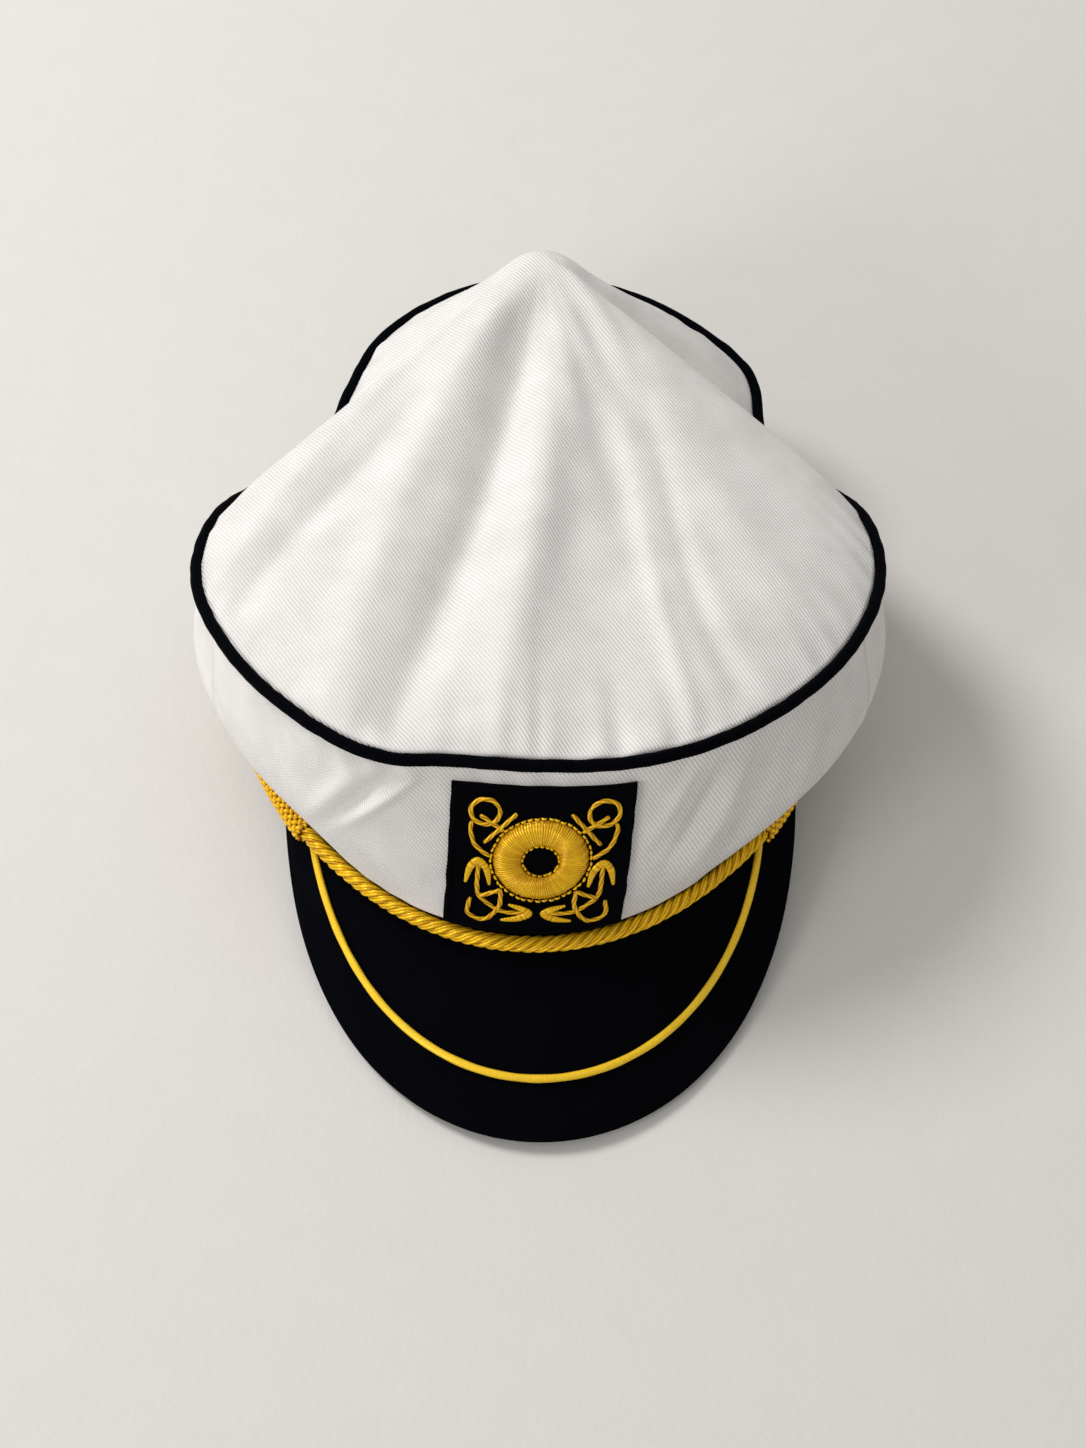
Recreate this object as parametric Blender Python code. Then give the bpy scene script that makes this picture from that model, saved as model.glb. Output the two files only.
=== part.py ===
"""A soft white yachting cap with a black visor, gold cord and sewn badge, standing as it rests on a table.

The cap is modelled in its own frame: the head band's lower edge lies in the plane z = 0, the front is -Y
and +Z is up. Left and right are as seen by someone who faces the cap, so +X is right. At the end every
piece hangs from one empty, which leans the cap back until the visor's edge and the back of the band stand
on the floor, with the origin under the middle. Angles round the cap are in degrees from the front, positive
to the right. All lengths are in metres.
"""

import functools
import math

import bmesh
import bpy
from mathutils import Matrix, Vector

# Head band: an oval ring for a 58 cm head, narrower to the front, tucked up behind the crown's hem
BAND_WIDTH = 0.197
BAND_FRONT = 0.106
BAND_BACK = 0.080
BAND_TAPER = 1.30
BAND_WALL = 0.0025
BAND_TUCK = 0.010
BAND_REVEAL = 0.0010

# Crown: a round top sewn to a standing side, slipped back over the band
CLOTH_WALL = 0.0016
CROWN_RADIUS = 0.118
CROWN_SHIFT = 0.024
CROWN_ASIDE = 0.003
FRONT_HEIGHT = 0.075
PEAK_BACK = 0.119
PEAK_HEIGHT = 0.1105
PEAK_ROUND = 0.014
TOP_ROLL = 0.0035
TOP_FOLD = 0.0042
FOLD_START = 0.30
SIDE_BULGE = 0.014
SIDE_SAG = 1.40
SEAM_ANGLE = 66.0

# Piping in the seam between the top and the side
PIPING_DIAMETER = 0.0042

# Visor: a stiff covered board, sewn to the front of the band
VISOR_WALL = 0.0026
VISOR_REACH = 0.0550
VISOR_TEMPLE = 0.0395
VISOR_TEMPLE_WIDTH = 0.0025
VISOR_ASIDE = 0.0022
VISOR_SLOPE = 30.0
VISOR_ARCH = 0.034
VISOR_ROOT = 0.0016
VISOR_CROWNING = 0.0012

# Gold line sewn on the visor, inside its free edge
TRIM_WIDTH = 0.0030
TRIM_HEIGHT = 0.0020
TRIM_INSET = 0.0205
TRIM_SIDE_INSET = 0.0275

# Gold cord over the root of the visor, with a slider and a button at each end
CORD_DIAMETER = 0.0058
CORD_STRANDS = 4
CORD_LAY = 0.0160
SLIDER_DIAMETER = 0.0078
SLIDER_LENGTH = 0.034
SLIDER_ANGLE = 58.0
BUTTON_DIAMETER = 0.0120
BUTTON_DEPTH = 0.0065
BUTTON_ANGLE = 96.0
FITTING_BLEND = 12.0

# Badge: a cloth patch with a padded life ring and two crossed anchors worked on it
PATCH_WIDTH = 0.0585
PATCH_HEIGHT = 0.058
PATCH_WALL = 0.0012
PATCH_DROP = 0.0045
PATCH_LEAN = 0.0015
PATCH_ASIDE = -0.0002
EMBLEM_UP = 0.0021
EMBLEM_ASIDE = 0.0010
RING_DIAMETER = 0.0312
RING_HOLE = 0.0124
RING_HEIGHT = 0.0022
STROKE_WIDTH = 0.0015
STROKE_HEIGHT = 0.0011
STROKE_STEP = 0.0022
CROSSING_LIFT = 0.00012

# Clearance between sewn pieces, and how far the band's cloth is pressed flat where it rests
SEWN_GAP = 0.0003
SEAT_FLAT = 0.0012

# The sewn edge of the crown, from the front round to the back. Reaches are shares of CROWN_RADIUS
# from the crown's middle, and heights are shares of FRONT_HEIGHT.
EDGE_TABLE = [
    {"angle": 0, "left_reach": 0.949, "right_reach": 0.949, "height": 1.000},
    {"angle": 14, "left_reach": 0.958, "right_reach": 0.965, "height": 0.998},
    {"angle": 26, "left_reach": 1.012, "right_reach": 0.977, "height": 0.994},
    {"angle": 45, "left_reach": 1.014, "right_reach": 0.990, "height": 0.987},
    {"angle": 60, "left_reach": 1.017, "right_reach": 0.998, "height": 0.968},
    {"angle": 77, "left_reach": 1.020, "right_reach": 0.992, "height": 0.942},
    {"angle": 93, "left_reach": 0.970, "right_reach": 0.950, "height": 0.885},
    {"angle": 110, "left_reach": 0.895, "right_reach": 0.885, "height": 0.725},
    {"angle": 127, "left_reach": 0.850, "right_reach": 0.860, "height": 0.665},
    {"angle": 139, "left_reach": 0.920, "right_reach": 0.995, "height": 0.775},
    {"angle": 150, "left_reach": 1.010, "right_reach": 1.025, "height": 0.860},
    {"angle": 165, "left_reach": 1.050, "right_reach": 1.045, "height": 0.950},
    {"angle": 180, "left_reach": 1.055, "right_reach": 1.055, "height": 0.985},
]

# How far the side stands out past a straight line from edge to hem, as shares of SIDE_BULGE,
# and how much of the band shows under the hem, as shares of BAND_REVEAL.
SIDE_TABLE = [
    {"angle": 0, "left_bulge": 0.10, "right_bulge": 0.10, "left_reveal": 1.00, "right_reveal": 1.00},
    {"angle": 30, "left_bulge": 0.25, "right_bulge": 0.40, "left_reveal": 0.50, "right_reveal": 0.20},
    {"angle": 60, "left_bulge": 0.70, "right_bulge": 0.95, "left_reveal": 0.20, "right_reveal": 0.10},
    {"angle": 95, "left_bulge": 0.95, "right_bulge": 1.05, "left_reveal": 0.20, "right_reveal": 0.20},
    {"angle": 130, "left_bulge": 1.00, "right_bulge": 0.90, "left_reveal": 0.60, "right_reveal": 0.60},
    {"angle": 180, "left_bulge": 0.85, "right_bulge": 0.85, "left_reveal": 0.80, "right_reveal": 0.80},
]

# Soft folds that run down the crown's top from its point. Depths are shares of TOP_FOLD, ridges positive.
FOLD_TABLE = [
    {"angle": -143, "spread": 14, "depth": -1.0},
    {"angle": -96, "spread": 9, "depth": 0.8},
    {"angle": -74, "spread": 10, "depth": -1.0},
    {"angle": -44, "spread": 12, "depth": 0.5},
    {"angle": -22, "spread": 10, "depth": -0.7},
    {"angle": 8, "spread": 10, "depth": 0.6},
    {"angle": 26, "spread": 10, "depth": -0.5},
    {"angle": 56, "spread": 12, "depth": 0.4},
    {"angle": 98, "spread": 10, "depth": 0.8},
    {"angle": 140, "spread": 14, "depth": -1.0},
]

# The worked lines left of the life ring, as shares of PATCH_WIDTH across and PATCH_HEIGHT up from the
# ring's middle. Those on its right are the same, mirrored. The head is the ring, shank, stock and rope of one
# anchor; the foot is the arms, flukes, shank and rope of the other, whose middles pass behind the life ring.
EYE = {"across": -0.319, "up": 0.302, "radius": 0.080}
HEAD_LINES = {
    "shank": [(-0.345, 0.280), (-0.213, 0.188)],
    "stock": [(-0.148, 0.306), (-0.313, 0.104)],
    "rope": [(-0.388, 0.235), (-0.392, 0.180), (-0.361, 0.085), (-0.279, 0.017)],
}
FOOT_LINES = {
    "arms": [(-0.337, -0.035), (-0.329, -0.235), (-0.271, -0.309), (-0.187, -0.360), (-0.060, -0.362)],
    "upper fluke": [(-0.401, -0.177), (-0.380, -0.070), (-0.338, -0.018), (-0.290, -0.070), (-0.267, -0.176)],
    "lower fluke": [(-0.155, -0.302), (-0.080, -0.330), (-0.042, -0.362), (-0.100, -0.400), (-0.191, -0.422)],
    "shank": [(-0.203, -0.202), (-0.320, -0.262)],
    "rope": [(-0.203, -0.200), (-0.206, -0.321), (-0.280, -0.427), (-0.371, -0.396), (-0.366, -0.282)],
}

# Faces round and along each piece
CROWN_STEPS = 60
TOP_ROWS = 8
SIDE_ROWS = 7
PIPING_STEPS = 72
VISOR_STEPS = 36
VISOR_ROWS = 5
TRIM_STEPS = 40
CORD_STEPS_PER_LAY = 6
SLIDER_STEPS = 8
RING_STEPS = 28
PATCH_STEPS = 10

LOOKS = {
    "white cotton": {"colour": (0.80, 0.79, 0.77), "roughness": 0.85, "metallic": 0.0},
    "black cotton": {"colour": (0.012, 0.013, 0.018), "roughness": 0.80, "metallic": 0.0},
    "gold thread": {"colour": (0.84, 0.52, 0.05), "roughness": 0.42, "metallic": 0.1},
}


def smooth_loop(rows, left, right):
    """Returns a smooth periodic curve of the angle through a table's left and right columns."""
    knots = [(-r["angle"], r[left]) for r in reversed(rows) if 0 < r["angle"] < 180]
    knots += [(r["angle"], r[right]) for r in rows]
    count = len(knots)

    def knot(i):
        turn, place = divmod(i, count)
        return knots[place][0] + 360 * turn, knots[place][1]

    def value(angle):
        angle = (angle - knots[0][0]) % 360 + knots[0][0]
        i = max(k for k in range(count) if knots[k][0] <= angle)
        (a0, v0), (a1, v1), (a2, v2), (a3, v3) = (knot(i + k) for k in (-1, 0, 1, 2))
        t = (angle - a1) / (a2 - a1)
        m1 = (v2 - v0) / (a2 - a0) * (a2 - a1)
        m2 = (v3 - v1) / (a3 - a1) * (a2 - a1)
        return v1 + (v2 - v1) * (3 * t**2 - 2 * t**3) + m1 * (t**3 - 2 * t**2 + t) + m2 * (t**3 - t**2)

    return value


edge_reach = smooth_loop(EDGE_TABLE, "left_reach", "right_reach")
edge_height = smooth_loop(EDGE_TABLE, "height", "height")
side_bulge = smooth_loop(SIDE_TABLE, "left_bulge", "right_bulge")
side_reveal = smooth_loop(SIDE_TABLE, "left_reveal", "right_reveal")


def spread(low, high, count):
    """Evenly spaced numbers from low to high, both ends included."""
    return [low + (high - low) * i / (count - 1) for i in range(count)]


def turned(count):
    """Evenly spaced angles once round the cap."""
    return [360 * i / count for i in range(count)]


def ease(share):
    """A soft step from 0 to 1 as the share goes from 0 to 1."""
    share = min(max(share, 0.0), 1.0)
    return share * share * (3 - 2 * share)


def off_front(angle):
    """How far an angle lies from the front, whichever way round."""
    return abs((angle + 180) % 360 - 180)


def band_point(angle, height, out=0.0):
    """A point at a height on the band's outer face, moved straight out by a distance."""
    a = math.radians(angle)
    if math.cos(a) > 0:
        along = -(BAND_FRONT + out) * math.cos(a) ** BAND_TAPER
    else:
        along = -(BAND_BACK + out) * math.cos(a)
    return Vector(((BAND_WIDTH / 2 + out) * math.sin(a), along, height))


@functools.cache
def along_band(start, length):
    """The angle reached by going a length round the band's face from another angle."""
    angle = start
    for _ in range(40):
        degree = (band_point(angle + 0.5, 0) - band_point(angle - 0.5, 0)).length
        angle += length / 40 / degree
    return angle


def visor_root_top():
    """The height of the visor's upper face where it is sewn to the band."""
    return VISOR_ROOT + VISOR_WALL / math.cos(math.radians(VISOR_SLOPE))


def share_between(angle, start, end):
    """1 from one angle off the front to another, on either side, easing to 0 beyond them."""
    away = off_front(angle)
    return ease((away - start) / FITTING_BLEND + 1) * ease((end - away) / FITTING_BLEND + 1)


def cord_room(angle):
    """Half the thickness of the bare cord, or of its slider from there back to the button."""
    start = along_band(SLIDER_ANGLE, -SLIDER_LENGTH / 2)
    end = along_band(BUTTON_ANGLE, BUTTON_DIAMETER / 2)
    share = share_between(angle, start, end)
    return (CORD_DIAMETER * (1 - share) + SLIDER_DIAMETER * share) / 2


def cord_point(angle):
    """A point on the cord's middle line, which lies against the band over the visor's root."""
    room = cord_room(angle) + SEWN_GAP
    return band_point(angle, visor_root_top() + room, room)


def hem_height(angle):
    """The height of the crown's lower hem, just above the cord, its slider and its button."""
    start, end = [along_band(BUTTON_ANGLE, along) for along in (-BUTTON_DIAMETER / 2, BUTTON_DIAMETER / 2)]
    button = share_between(angle, start, end) * (BUTTON_DIAMETER - SLIDER_DIAMETER) / 2
    room = cord_room(angle) + max(button, 0)
    return cord_point(angle).z + room + SEWN_GAP + BAND_REVEAL * side_reveal(angle)


def edge_point(angle):
    """A point on the line of the piping, where the crown's top and side are sewn together."""
    a = math.radians(angle)
    reach = CROWN_RADIUS * edge_reach(angle)
    height = FRONT_HEIGHT * edge_height(angle)
    return Vector((CROWN_ASIDE + reach * math.sin(a), CROWN_SHIFT - reach * math.cos(a), height))


def edge_axes(angle):
    """The outward and upward directions square to the piping."""
    along = (edge_point(angle + 1) - edge_point(angle - 1)).normalized()
    out = along.cross(Vector((0, 0, 1))).normalized()
    return out, out.cross(along).normalized()


def top_point(angle, share):
    """A point on the outside of the crown's top: share 0 is its raised point and 1 its sewn edge."""
    out, up = edge_axes(angle)
    sewn = edge_point(angle) - out * (PIPING_DIAMETER / 2 + SEWN_GAP) + up * CLOTH_WALL / 2
    tip = Vector((CROWN_ASIDE, PEAK_BACK, PEAK_HEIGHT))
    flat = tip.lerp(sewn, share)
    run = (sewn - tip).xy.length
    blunt = PEAK_ROUND / run
    fall = (math.hypot(share, blunt) - blunt) / (math.hypot(1, blunt) - blunt)
    size = min(run / (2 * CROWN_RADIUS), 1)
    roll = TOP_ROLL * size**0.5 * math.sin(math.pi * share**4)
    fold = 0.0
    for row in FOLD_TABLE:
        away = (angle - row["angle"] + 180) % 360 - 180
        fold += TOP_FOLD * row["depth"] * math.exp(-((away / row["spread"]) ** 2))
    fold *= math.sin(math.pi * share**0.8) * ease(share / FOLD_START) * (0.35 + 0.65 * size)
    return Vector((flat.x, flat.y, tip.z + (sewn.z - tip.z) * fall + roll + fold))


def side_point(angle, share):
    """A point on the outside of the crown's side: share 0 is just under the piping and 1 the hem."""
    out, up = edge_axes(angle)
    edge = edge_point(angle)
    low = band_point(angle, hem_height(angle), SEWN_GAP + CLOTH_WALL)
    fall = (low - edge) - (low - edge).project(out.cross(up))
    fall.normalize()
    face = (out - out.project(fall)).normalized()
    high = edge + fall * (PIPING_DIAMETER / 2 + SEWN_GAP) + face * CLOTH_WALL / 2
    bulge = SIDE_BULGE * side_bulge(angle) * math.sin(math.pi * min(max(share, 0), 1) ** SIDE_SAG)
    return high.lerp(low, share) + out * bulge


def side_normal(angle, share):
    """The outward direction square to the crown's side."""
    across = side_point(angle + 0.5, share) - side_point(angle - 0.5, share)
    down = side_point(angle, share + 0.01) - side_point(angle, share - 0.01)
    return down.cross(across).normalized()


def visor_temple_angle():
    """The angle round the band at which the visor ends."""
    return math.degrees(math.acos((VISOR_TEMPLE / BAND_FRONT) ** (1 / BAND_TAPER)))


def visor_point(side, share, lift=0.0):
    """A point on the visor's upper face. Side runs from -1 to 1, temple to temple; share 0 is its root
    at the band and 1 its free edge. Lift moves it square to the face."""
    temple_angle = visor_temple_angle()
    temple = band_point(temple_angle, 0, SEWN_GAP + VISOR_TEMPLE_WIDTH)
    front = BAND_FRONT + VISOR_REACH + temple.y

    def on_face(s, t):
        root = band_point(s * temple_angle, visor_root_top(), SEWN_GAP)
        a = math.radians(90 * s)
        x = temple.x * math.sin(a)
        y = temple.y - front * math.cos(a)
        z = math.tan(math.radians(VISOR_SLOPE)) * (y + BAND_FRONT) - VISOR_ARCH * math.sin(a) ** 2
        raised = VISOR_CROWNING * math.sin(math.pi * t) * math.cos(a)
        free = Vector((x + VISOR_ASIDE, y, z))
        return root.lerp(free, t) + Vector((0, 0, raised))

    here = on_face(side, share)
    if lift == 0:
        return here
    step = 0.01
    across = on_face(min(side + step, 1), share) - on_face(max(side - step, -1), share)
    down = on_face(side, share + step) - on_face(side, share - step)
    return here + down.cross(across).normalized() * lift


def visor_under(side, share):
    """The point of the visor's lower face straight under one of its upper face."""
    return visor_point(side, share) - Vector((0, 0, VISOR_WALL / math.cos(math.radians(VISOR_SLOPE))))


def patch_point(across, up, lift=0.0):
    """A point on the badge. Across and up are distances from its middle; lift stands off the crown."""
    run = (side_point(0, 0) - side_point(0, 1)).length
    share = (PATCH_DROP + PATCH_HEIGHT / 2 - up) / run
    degree = (side_point(1, share) - side_point(-1, share)).length / 2
    angle = (across + PATCH_ASIDE + PATCH_LEAN * up / PATCH_HEIGHT) / degree
    return side_point(angle, share) + side_normal(angle, share) * lift


def leaned(angle):
    """The turn that leans the cap back by an angle."""
    return Matrix.Rotation(-math.radians(angle), 3, "X")


def band_floor(angle):
    """The height of the floor under the leaned band, with its cloth pressed flat."""
    return min((leaned(angle) @ band_point(a, 0)).z for a in turned(CROWN_STEPS)) + SEAT_FLAT


def visor_floor(angle):
    """The height of the lowest point of the leaned visor."""
    return min((leaned(angle) @ visor_under(s, 1)).z for s in spread(-1, 1, VISOR_STEPS + 1))


def rest_lean():
    """The lean at which the visor's edge and the back of the band stand on one floor."""
    low, high = 0.0, 45.0
    for _ in range(40):
        middle = (low + high) / 2
        if visor_floor(middle) < band_floor(middle):
            low = middle
        else:
            high = middle
    return high


def add_object(name, mesh, look):
    """Puts a mesh into the scene as one named, smooth-shaded object with a material of its own."""
    material = bpy.data.materials.new(name + " " + look)
    material.use_nodes = True
    shader = material.node_tree.nodes["Principled BSDF"]
    shader.inputs["Base Color"].default_value = (*LOOKS[look]["colour"], 1)
    shader.inputs["Roughness"].default_value = LOOKS[look]["roughness"]
    shader.inputs["Metallic"].default_value = LOOKS[look]["metallic"]
    mesh.name = name
    mesh.materials.clear()
    mesh.materials.append(material)
    mesh.shade_smooth()
    mesh.set_sharp_from_angle(angle=math.radians(40))
    item = bpy.data.objects.new(name, mesh)
    bpy.context.scene.collection.objects.link(item)
    return item


def mesh_from(points, faces):
    """A mesh of those faces, with its normals turned outwards."""
    mesh = bpy.data.meshes.new("shape")
    mesh.from_pydata([tuple(p) for p in points], [], faces)
    work = bmesh.new()
    work.from_mesh(mesh)
    bmesh.ops.recalc_face_normals(work, faces=work.faces)
    work.to_mesh(mesh)
    work.free()
    return mesh


def grid_faces(rows, columns, closed):
    """The four-sided faces of a grid of points. A closed grid joins its last column to its first."""
    faces = []
    for r in range(rows - 1):
        for c in range(columns if closed else columns - 1):
            d = (c + 1) % columns
            faces.append((r * columns + c, r * columns + d, (r + 1) * columns + d, (r + 1) * columns + c))
    return faces


def loop_faces(rows, columns):
    """The faces of a closed grid whose last row also joins its first."""
    faces = grid_faces(rows + 1, columns, True)
    return [tuple(q % (rows * columns) for q in face) for face in faces]


def sheet_mesh(outside, wall, closed, tip=None):
    """A wall of cloth: a grid of outside points, row by row, doubled inwards by its thickness.
    A tip closes the first row of a closed grid."""
    rows, columns = len(outside), len(outside[0])
    points = [p for row in outside for p in row]
    faces = grid_faces(rows, columns, closed)
    if tip is not None:
        points.append(tip)
        faces += [(len(points) - 1, (c + 1) % columns, c) for c in range(columns)]
    mesh = mesh_from(points, faces)
    work = bmesh.new()
    work.from_mesh(mesh)
    inside = Vector((0, 0, FRONT_HEIGHT / 2))
    if sum(f.normal.dot(f.calc_center_median() - inside) for f in work.faces) < 0:
        bmesh.ops.reverse_faces(work, faces=work.faces[:])
    bmesh.ops.solidify(work, geom=work.faces[:], thickness=wall)
    bmesh.ops.recalc_face_normals(work, faces=work.faces)
    work.to_mesh(mesh)
    work.free()
    return mesh


def swept_points(path, ups, section, closed=False):
    """The corners of a section carried along a path. Ups are the directions that stay up, and section(i)
    gives the outline at the path's point i as distances across and up."""
    points = []
    for i, (here, up) in enumerate(zip(path, ups)):
        after = path[(i + 1) % len(path)] if closed else path[min(i + 1, len(path) - 1)]
        before = path[i - 1] if closed else path[max(i - 1, 0)]
        along = (after - before).normalized()
        across = along.cross(up).normalized()
        square = across.cross(along)
        points += [here + across * a + square * b for a, b in section(i)]
    return points


def swept_mesh(path, ups, section, closed=False):
    """A solid swept along a path, joined into a ring or capped at both ends."""
    count, corners = len(path), len(section(0))
    points = swept_points(path, ups, section, closed)
    if closed:
        return mesh_from(points, loop_faces(count, corners))
    ends = [tuple(range(corners)), tuple(range((count - 1) * corners, count * corners))]
    return mesh_from(points, grid_faces(count, corners, True) + ends)


def sleeve_mesh(path, ups, section, bore):
    """A solid swept along a path with a hole right through it. Both outlines have as many corners."""
    count, corners = len(path), len(bore(0))
    points = swept_points(path, ups, section) + swept_points(path, ups, bore)
    inner, last = count * corners, (count - 1) * corners
    walls = grid_faces(count, corners, True)
    faces = walls + [tuple(inner + q for q in face) for face in walls]
    for c in range(corners):
        d = (c + 1) % corners
        faces.append((c, d, inner + d, inner + c))
        faces.append((last + c, last + d, inner + last + d, inner + last + c))
    return mesh_from(points, faces)


def oval(width, height, corners):
    """The corners of an oval section, flat side down."""
    angles = [2 * math.pi * (c + 0.5) / corners for c in range(corners)]
    return [(width / 2 * math.cos(a), height / 2 * math.sin(a)) for a in angles]


def fused(meshes):
    """One body made of several that cross each other."""
    items = [bpy.data.objects.new("shape", mesh) for mesh in meshes]
    for item in items:
        bpy.context.scene.collection.objects.link(item)
    for item in items[1:]:
        join = items[0].modifiers.new("join", "BOOLEAN")
        join.operation = "UNION"
        join.solver = "EXACT"
        join.object = item
    bpy.context.view_layer.update()
    mesh = bpy.data.meshes.new_from_object(items[0].evaluated_get(bpy.context.evaluated_depsgraph_get()))
    for item in items:
        bpy.data.objects.remove(item)
    return mesh


def build_top():
    """The round cloth top, pulled up to a soft point behind its middle."""
    shares = [((r + 1) / TOP_ROWS) ** 0.9 for r in range(TOP_ROWS)]
    outside = [[top_point(a, s) for a in turned(CROWN_STEPS)] for s in shares]
    return add_object("crown_top", sheet_mesh(outside, CLOTH_WALL, True, top_point(0, 0)), "white cotton")


def build_side(name, start, end):
    """One panel of the crown's side, between two of its upright seams."""
    steps = round((end - start) / 360 * CROWN_STEPS) + 1
    angles = spread(along_band(start, SEWN_GAP / 2), along_band(end, -SEWN_GAP / 2), steps)
    outside = [[side_point(a, s) for a in angles] for s in spread(0, 1, SIDE_ROWS)]
    return add_object(name, sheet_mesh(outside, CLOTH_WALL, False), "white cotton")


def build_piping():
    """The round piping that runs once round the crown's sewn edge."""
    angles = turned(PIPING_STEPS)
    path = [edge_point(a) for a in angles]
    ups = [edge_axes(a)[1] for a in angles]
    outline = oval(PIPING_DIAMETER, PIPING_DIAMETER, 6)
    return add_object("crown_piping", swept_mesh(path, ups, lambda i: outline, closed=True), "black cotton")


def band_section(angle):
    """The band's outline at an angle as distances out from its face and heights. Above the hem
    it leans in, where the crown does, to stay behind it."""
    knee = hem_height(angle) - 2 * SEWN_GAP
    share = 1 - BAND_TUCK / (side_point(angle, 0) - side_point(angle, 1)).length
    behind = side_point(angle, share) - side_normal(angle, share) * (CLOTH_WALL + 2 * SEWN_GAP)
    face = band_point(angle, behind.z)
    tuck = min((behind.xy - face.xy).dot(face.xy.normalized()), 0)
    outer = [(0, 0), (0, knee), (tuck, behind.z)]
    return outer + [(out - BAND_WALL, height) for out, height in reversed(outer)]


def build_band(lean, floor):
    """The head band. Where it would sink below the floor its lower edge is pressed flat."""
    turn = leaned(lean)
    points = []
    for angle in turned(CROWN_STEPS):
        for out, height in band_section(angle):
            point = band_point(angle, height, out)
            sunk = max(floor - (turn @ point).z, 0)
            points.append(point + turn.transposed() @ Vector((0, 0, sunk)))
    mesh = mesh_from(points, loop_faces(CROWN_STEPS, len(points) // CROWN_STEPS))
    return add_object("head_band", mesh, "black cotton")


def build_visor():
    """The visor: a board whose upper and lower faces follow each other."""
    sides = spread(-1, 1, VISOR_STEPS + 1)
    shares = spread(0, 1, VISOR_ROWS + 1)
    rows, columns = len(shares), len(sides)
    points = [visor_point(s, t) for t in shares for s in sides]
    points += [visor_under(s, t) for t in shares for s in sides]
    under = rows * columns
    upper_faces = grid_faces(rows, columns, False)
    faces = upper_faces + [tuple(under + q for q in face) for face in upper_faces]
    border = list(range(columns)) + [r * columns + columns - 1 for r in range(1, rows)]
    border += [(rows - 1) * columns + c for c in reversed(range(columns - 1))]
    border += [r * columns for r in reversed(range(1, rows - 1))]
    faces += [(a, b, under + b, under + a) for a, b in zip(border, border[1:] + border[:1])]
    return add_object("visor", mesh_from(points, faces), "black cotton")


def trim_share(side):
    """The share of the visor's depth, root to edge, where the gold line lies."""
    depth = (visor_point(side, 1) - visor_point(side, 0)).length
    return 1 - (TRIM_INSET + (TRIM_SIDE_INSET - TRIM_INSET) * side * side) / depth


def trim_point(side):
    """A point on the gold line's middle."""
    return visor_point(side, trim_share(side), SEWN_GAP + TRIM_HEIGHT / 2)


def trim_is_clear(side):
    """Whether the gold line still lies clear of the cord over the visor's root."""
    if trim_share(side) <= 0:
        return False
    here = trim_point(side)
    room = TRIM_WIDTH / 2 + SEWN_GAP
    return min((here - cord_point(a)).length - cord_room(a) for a in turned(360)) > room


def build_trim():
    """The gold line sewn along the visor, inside its free edge, from cord to cord."""
    clear = [s for s in spread(-1, 1, 401) if trim_is_clear(s)]
    sides = spread(clear[0], clear[-1], TRIM_STEPS + 1)
    path = [trim_point(s) for s in sides]
    ups = [visor_point(s, trim_share(s), 1) - visor_point(s, trim_share(s)) for s in sides]
    outline = oval(TRIM_WIDTH, TRIM_HEIGHT, 6)
    return add_object("visor_trim", swept_mesh(path, ups, lambda i: outline), "gold thread")


def build_cord():
    """The twisted cord, a lobed section that turns as it goes, ending at its two buttons."""
    end = along_band(BUTTON_ANGLE, -BUTTON_DIAMETER / 2 - SEWN_GAP)
    fine = [cord_point(a) for a in spread(-end, end, 200)]
    length = sum((b - a).length for a, b in zip(fine, fine[1:]))
    steps = round(length / CORD_LAY * CORD_STEPS_PER_LAY)
    angles = spread(-end, end, steps + 1)
    corners = 2 * CORD_STRANDS

    def section(i):
        turn = 2 * math.pi * i / CORD_STEPS_PER_LAY
        radii = [CORD_DIAMETER / 2 * (1.0 if c % 2 == 0 else 0.76) for c in range(corners)]
        places = [turn + 2 * math.pi * c / corners for c in range(corners)]
        return [(r * math.cos(a), r * math.sin(a)) for r, a in zip(radii, places)]

    path = [cord_point(a) for a in angles]
    ups = [Vector((0, 0, 1)) for a in angles]
    return add_object("gold_cord", swept_mesh(path, ups, section), "gold thread")


def build_slider(name, middle):
    """The plaited sleeve that slides on the cord."""
    ends = [along_band(middle, along) for along in (-SLIDER_LENGTH / 2, SLIDER_LENGTH / 2)]
    path = [cord_point(a) for a in spread(*ends, SLIDER_STEPS + 1)]
    ups = [Vector((0, 0, 1))] * len(path)
    inside = CORD_DIAMETER + 3 * SEWN_GAP
    mouth = inside + 2 * SEWN_GAP
    bore = oval(inside, inside, 8)

    def section(i):
        rounding = max(math.sin(math.pi * i / SLIDER_STEPS), 0) ** 0.3
        thickness = mouth + (SLIDER_DIAMETER - mouth) * rounding
        return oval(thickness, thickness, 8)

    return add_object(name, sleeve_mesh(path, ups, section, lambda i: bore), "gold thread")


def build_button(name, angle):
    """A domed button on the band, which holds one end of the cord."""
    out = (band_point(angle + 1, 0) - band_point(angle - 1, 0)).cross(Vector((0, 0, 1))).normalized()
    foot = band_point(angle, cord_point(angle).z, SEWN_GAP)
    profile = [(1.00, 0.00), (1.00, 0.45), (0.88, 0.78), (0.55, 1.00)]
    path = [foot + out * BUTTON_DEPTH * rise for wide, rise in profile]
    ups = [Vector((0, 0, 1))] * len(path)
    rings = [oval(BUTTON_DIAMETER * wide, BUTTON_DIAMETER * wide, 14) for wide, rise in profile]
    return add_object(name, swept_mesh(path, ups, lambda i: rings[i]), "gold thread")


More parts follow.
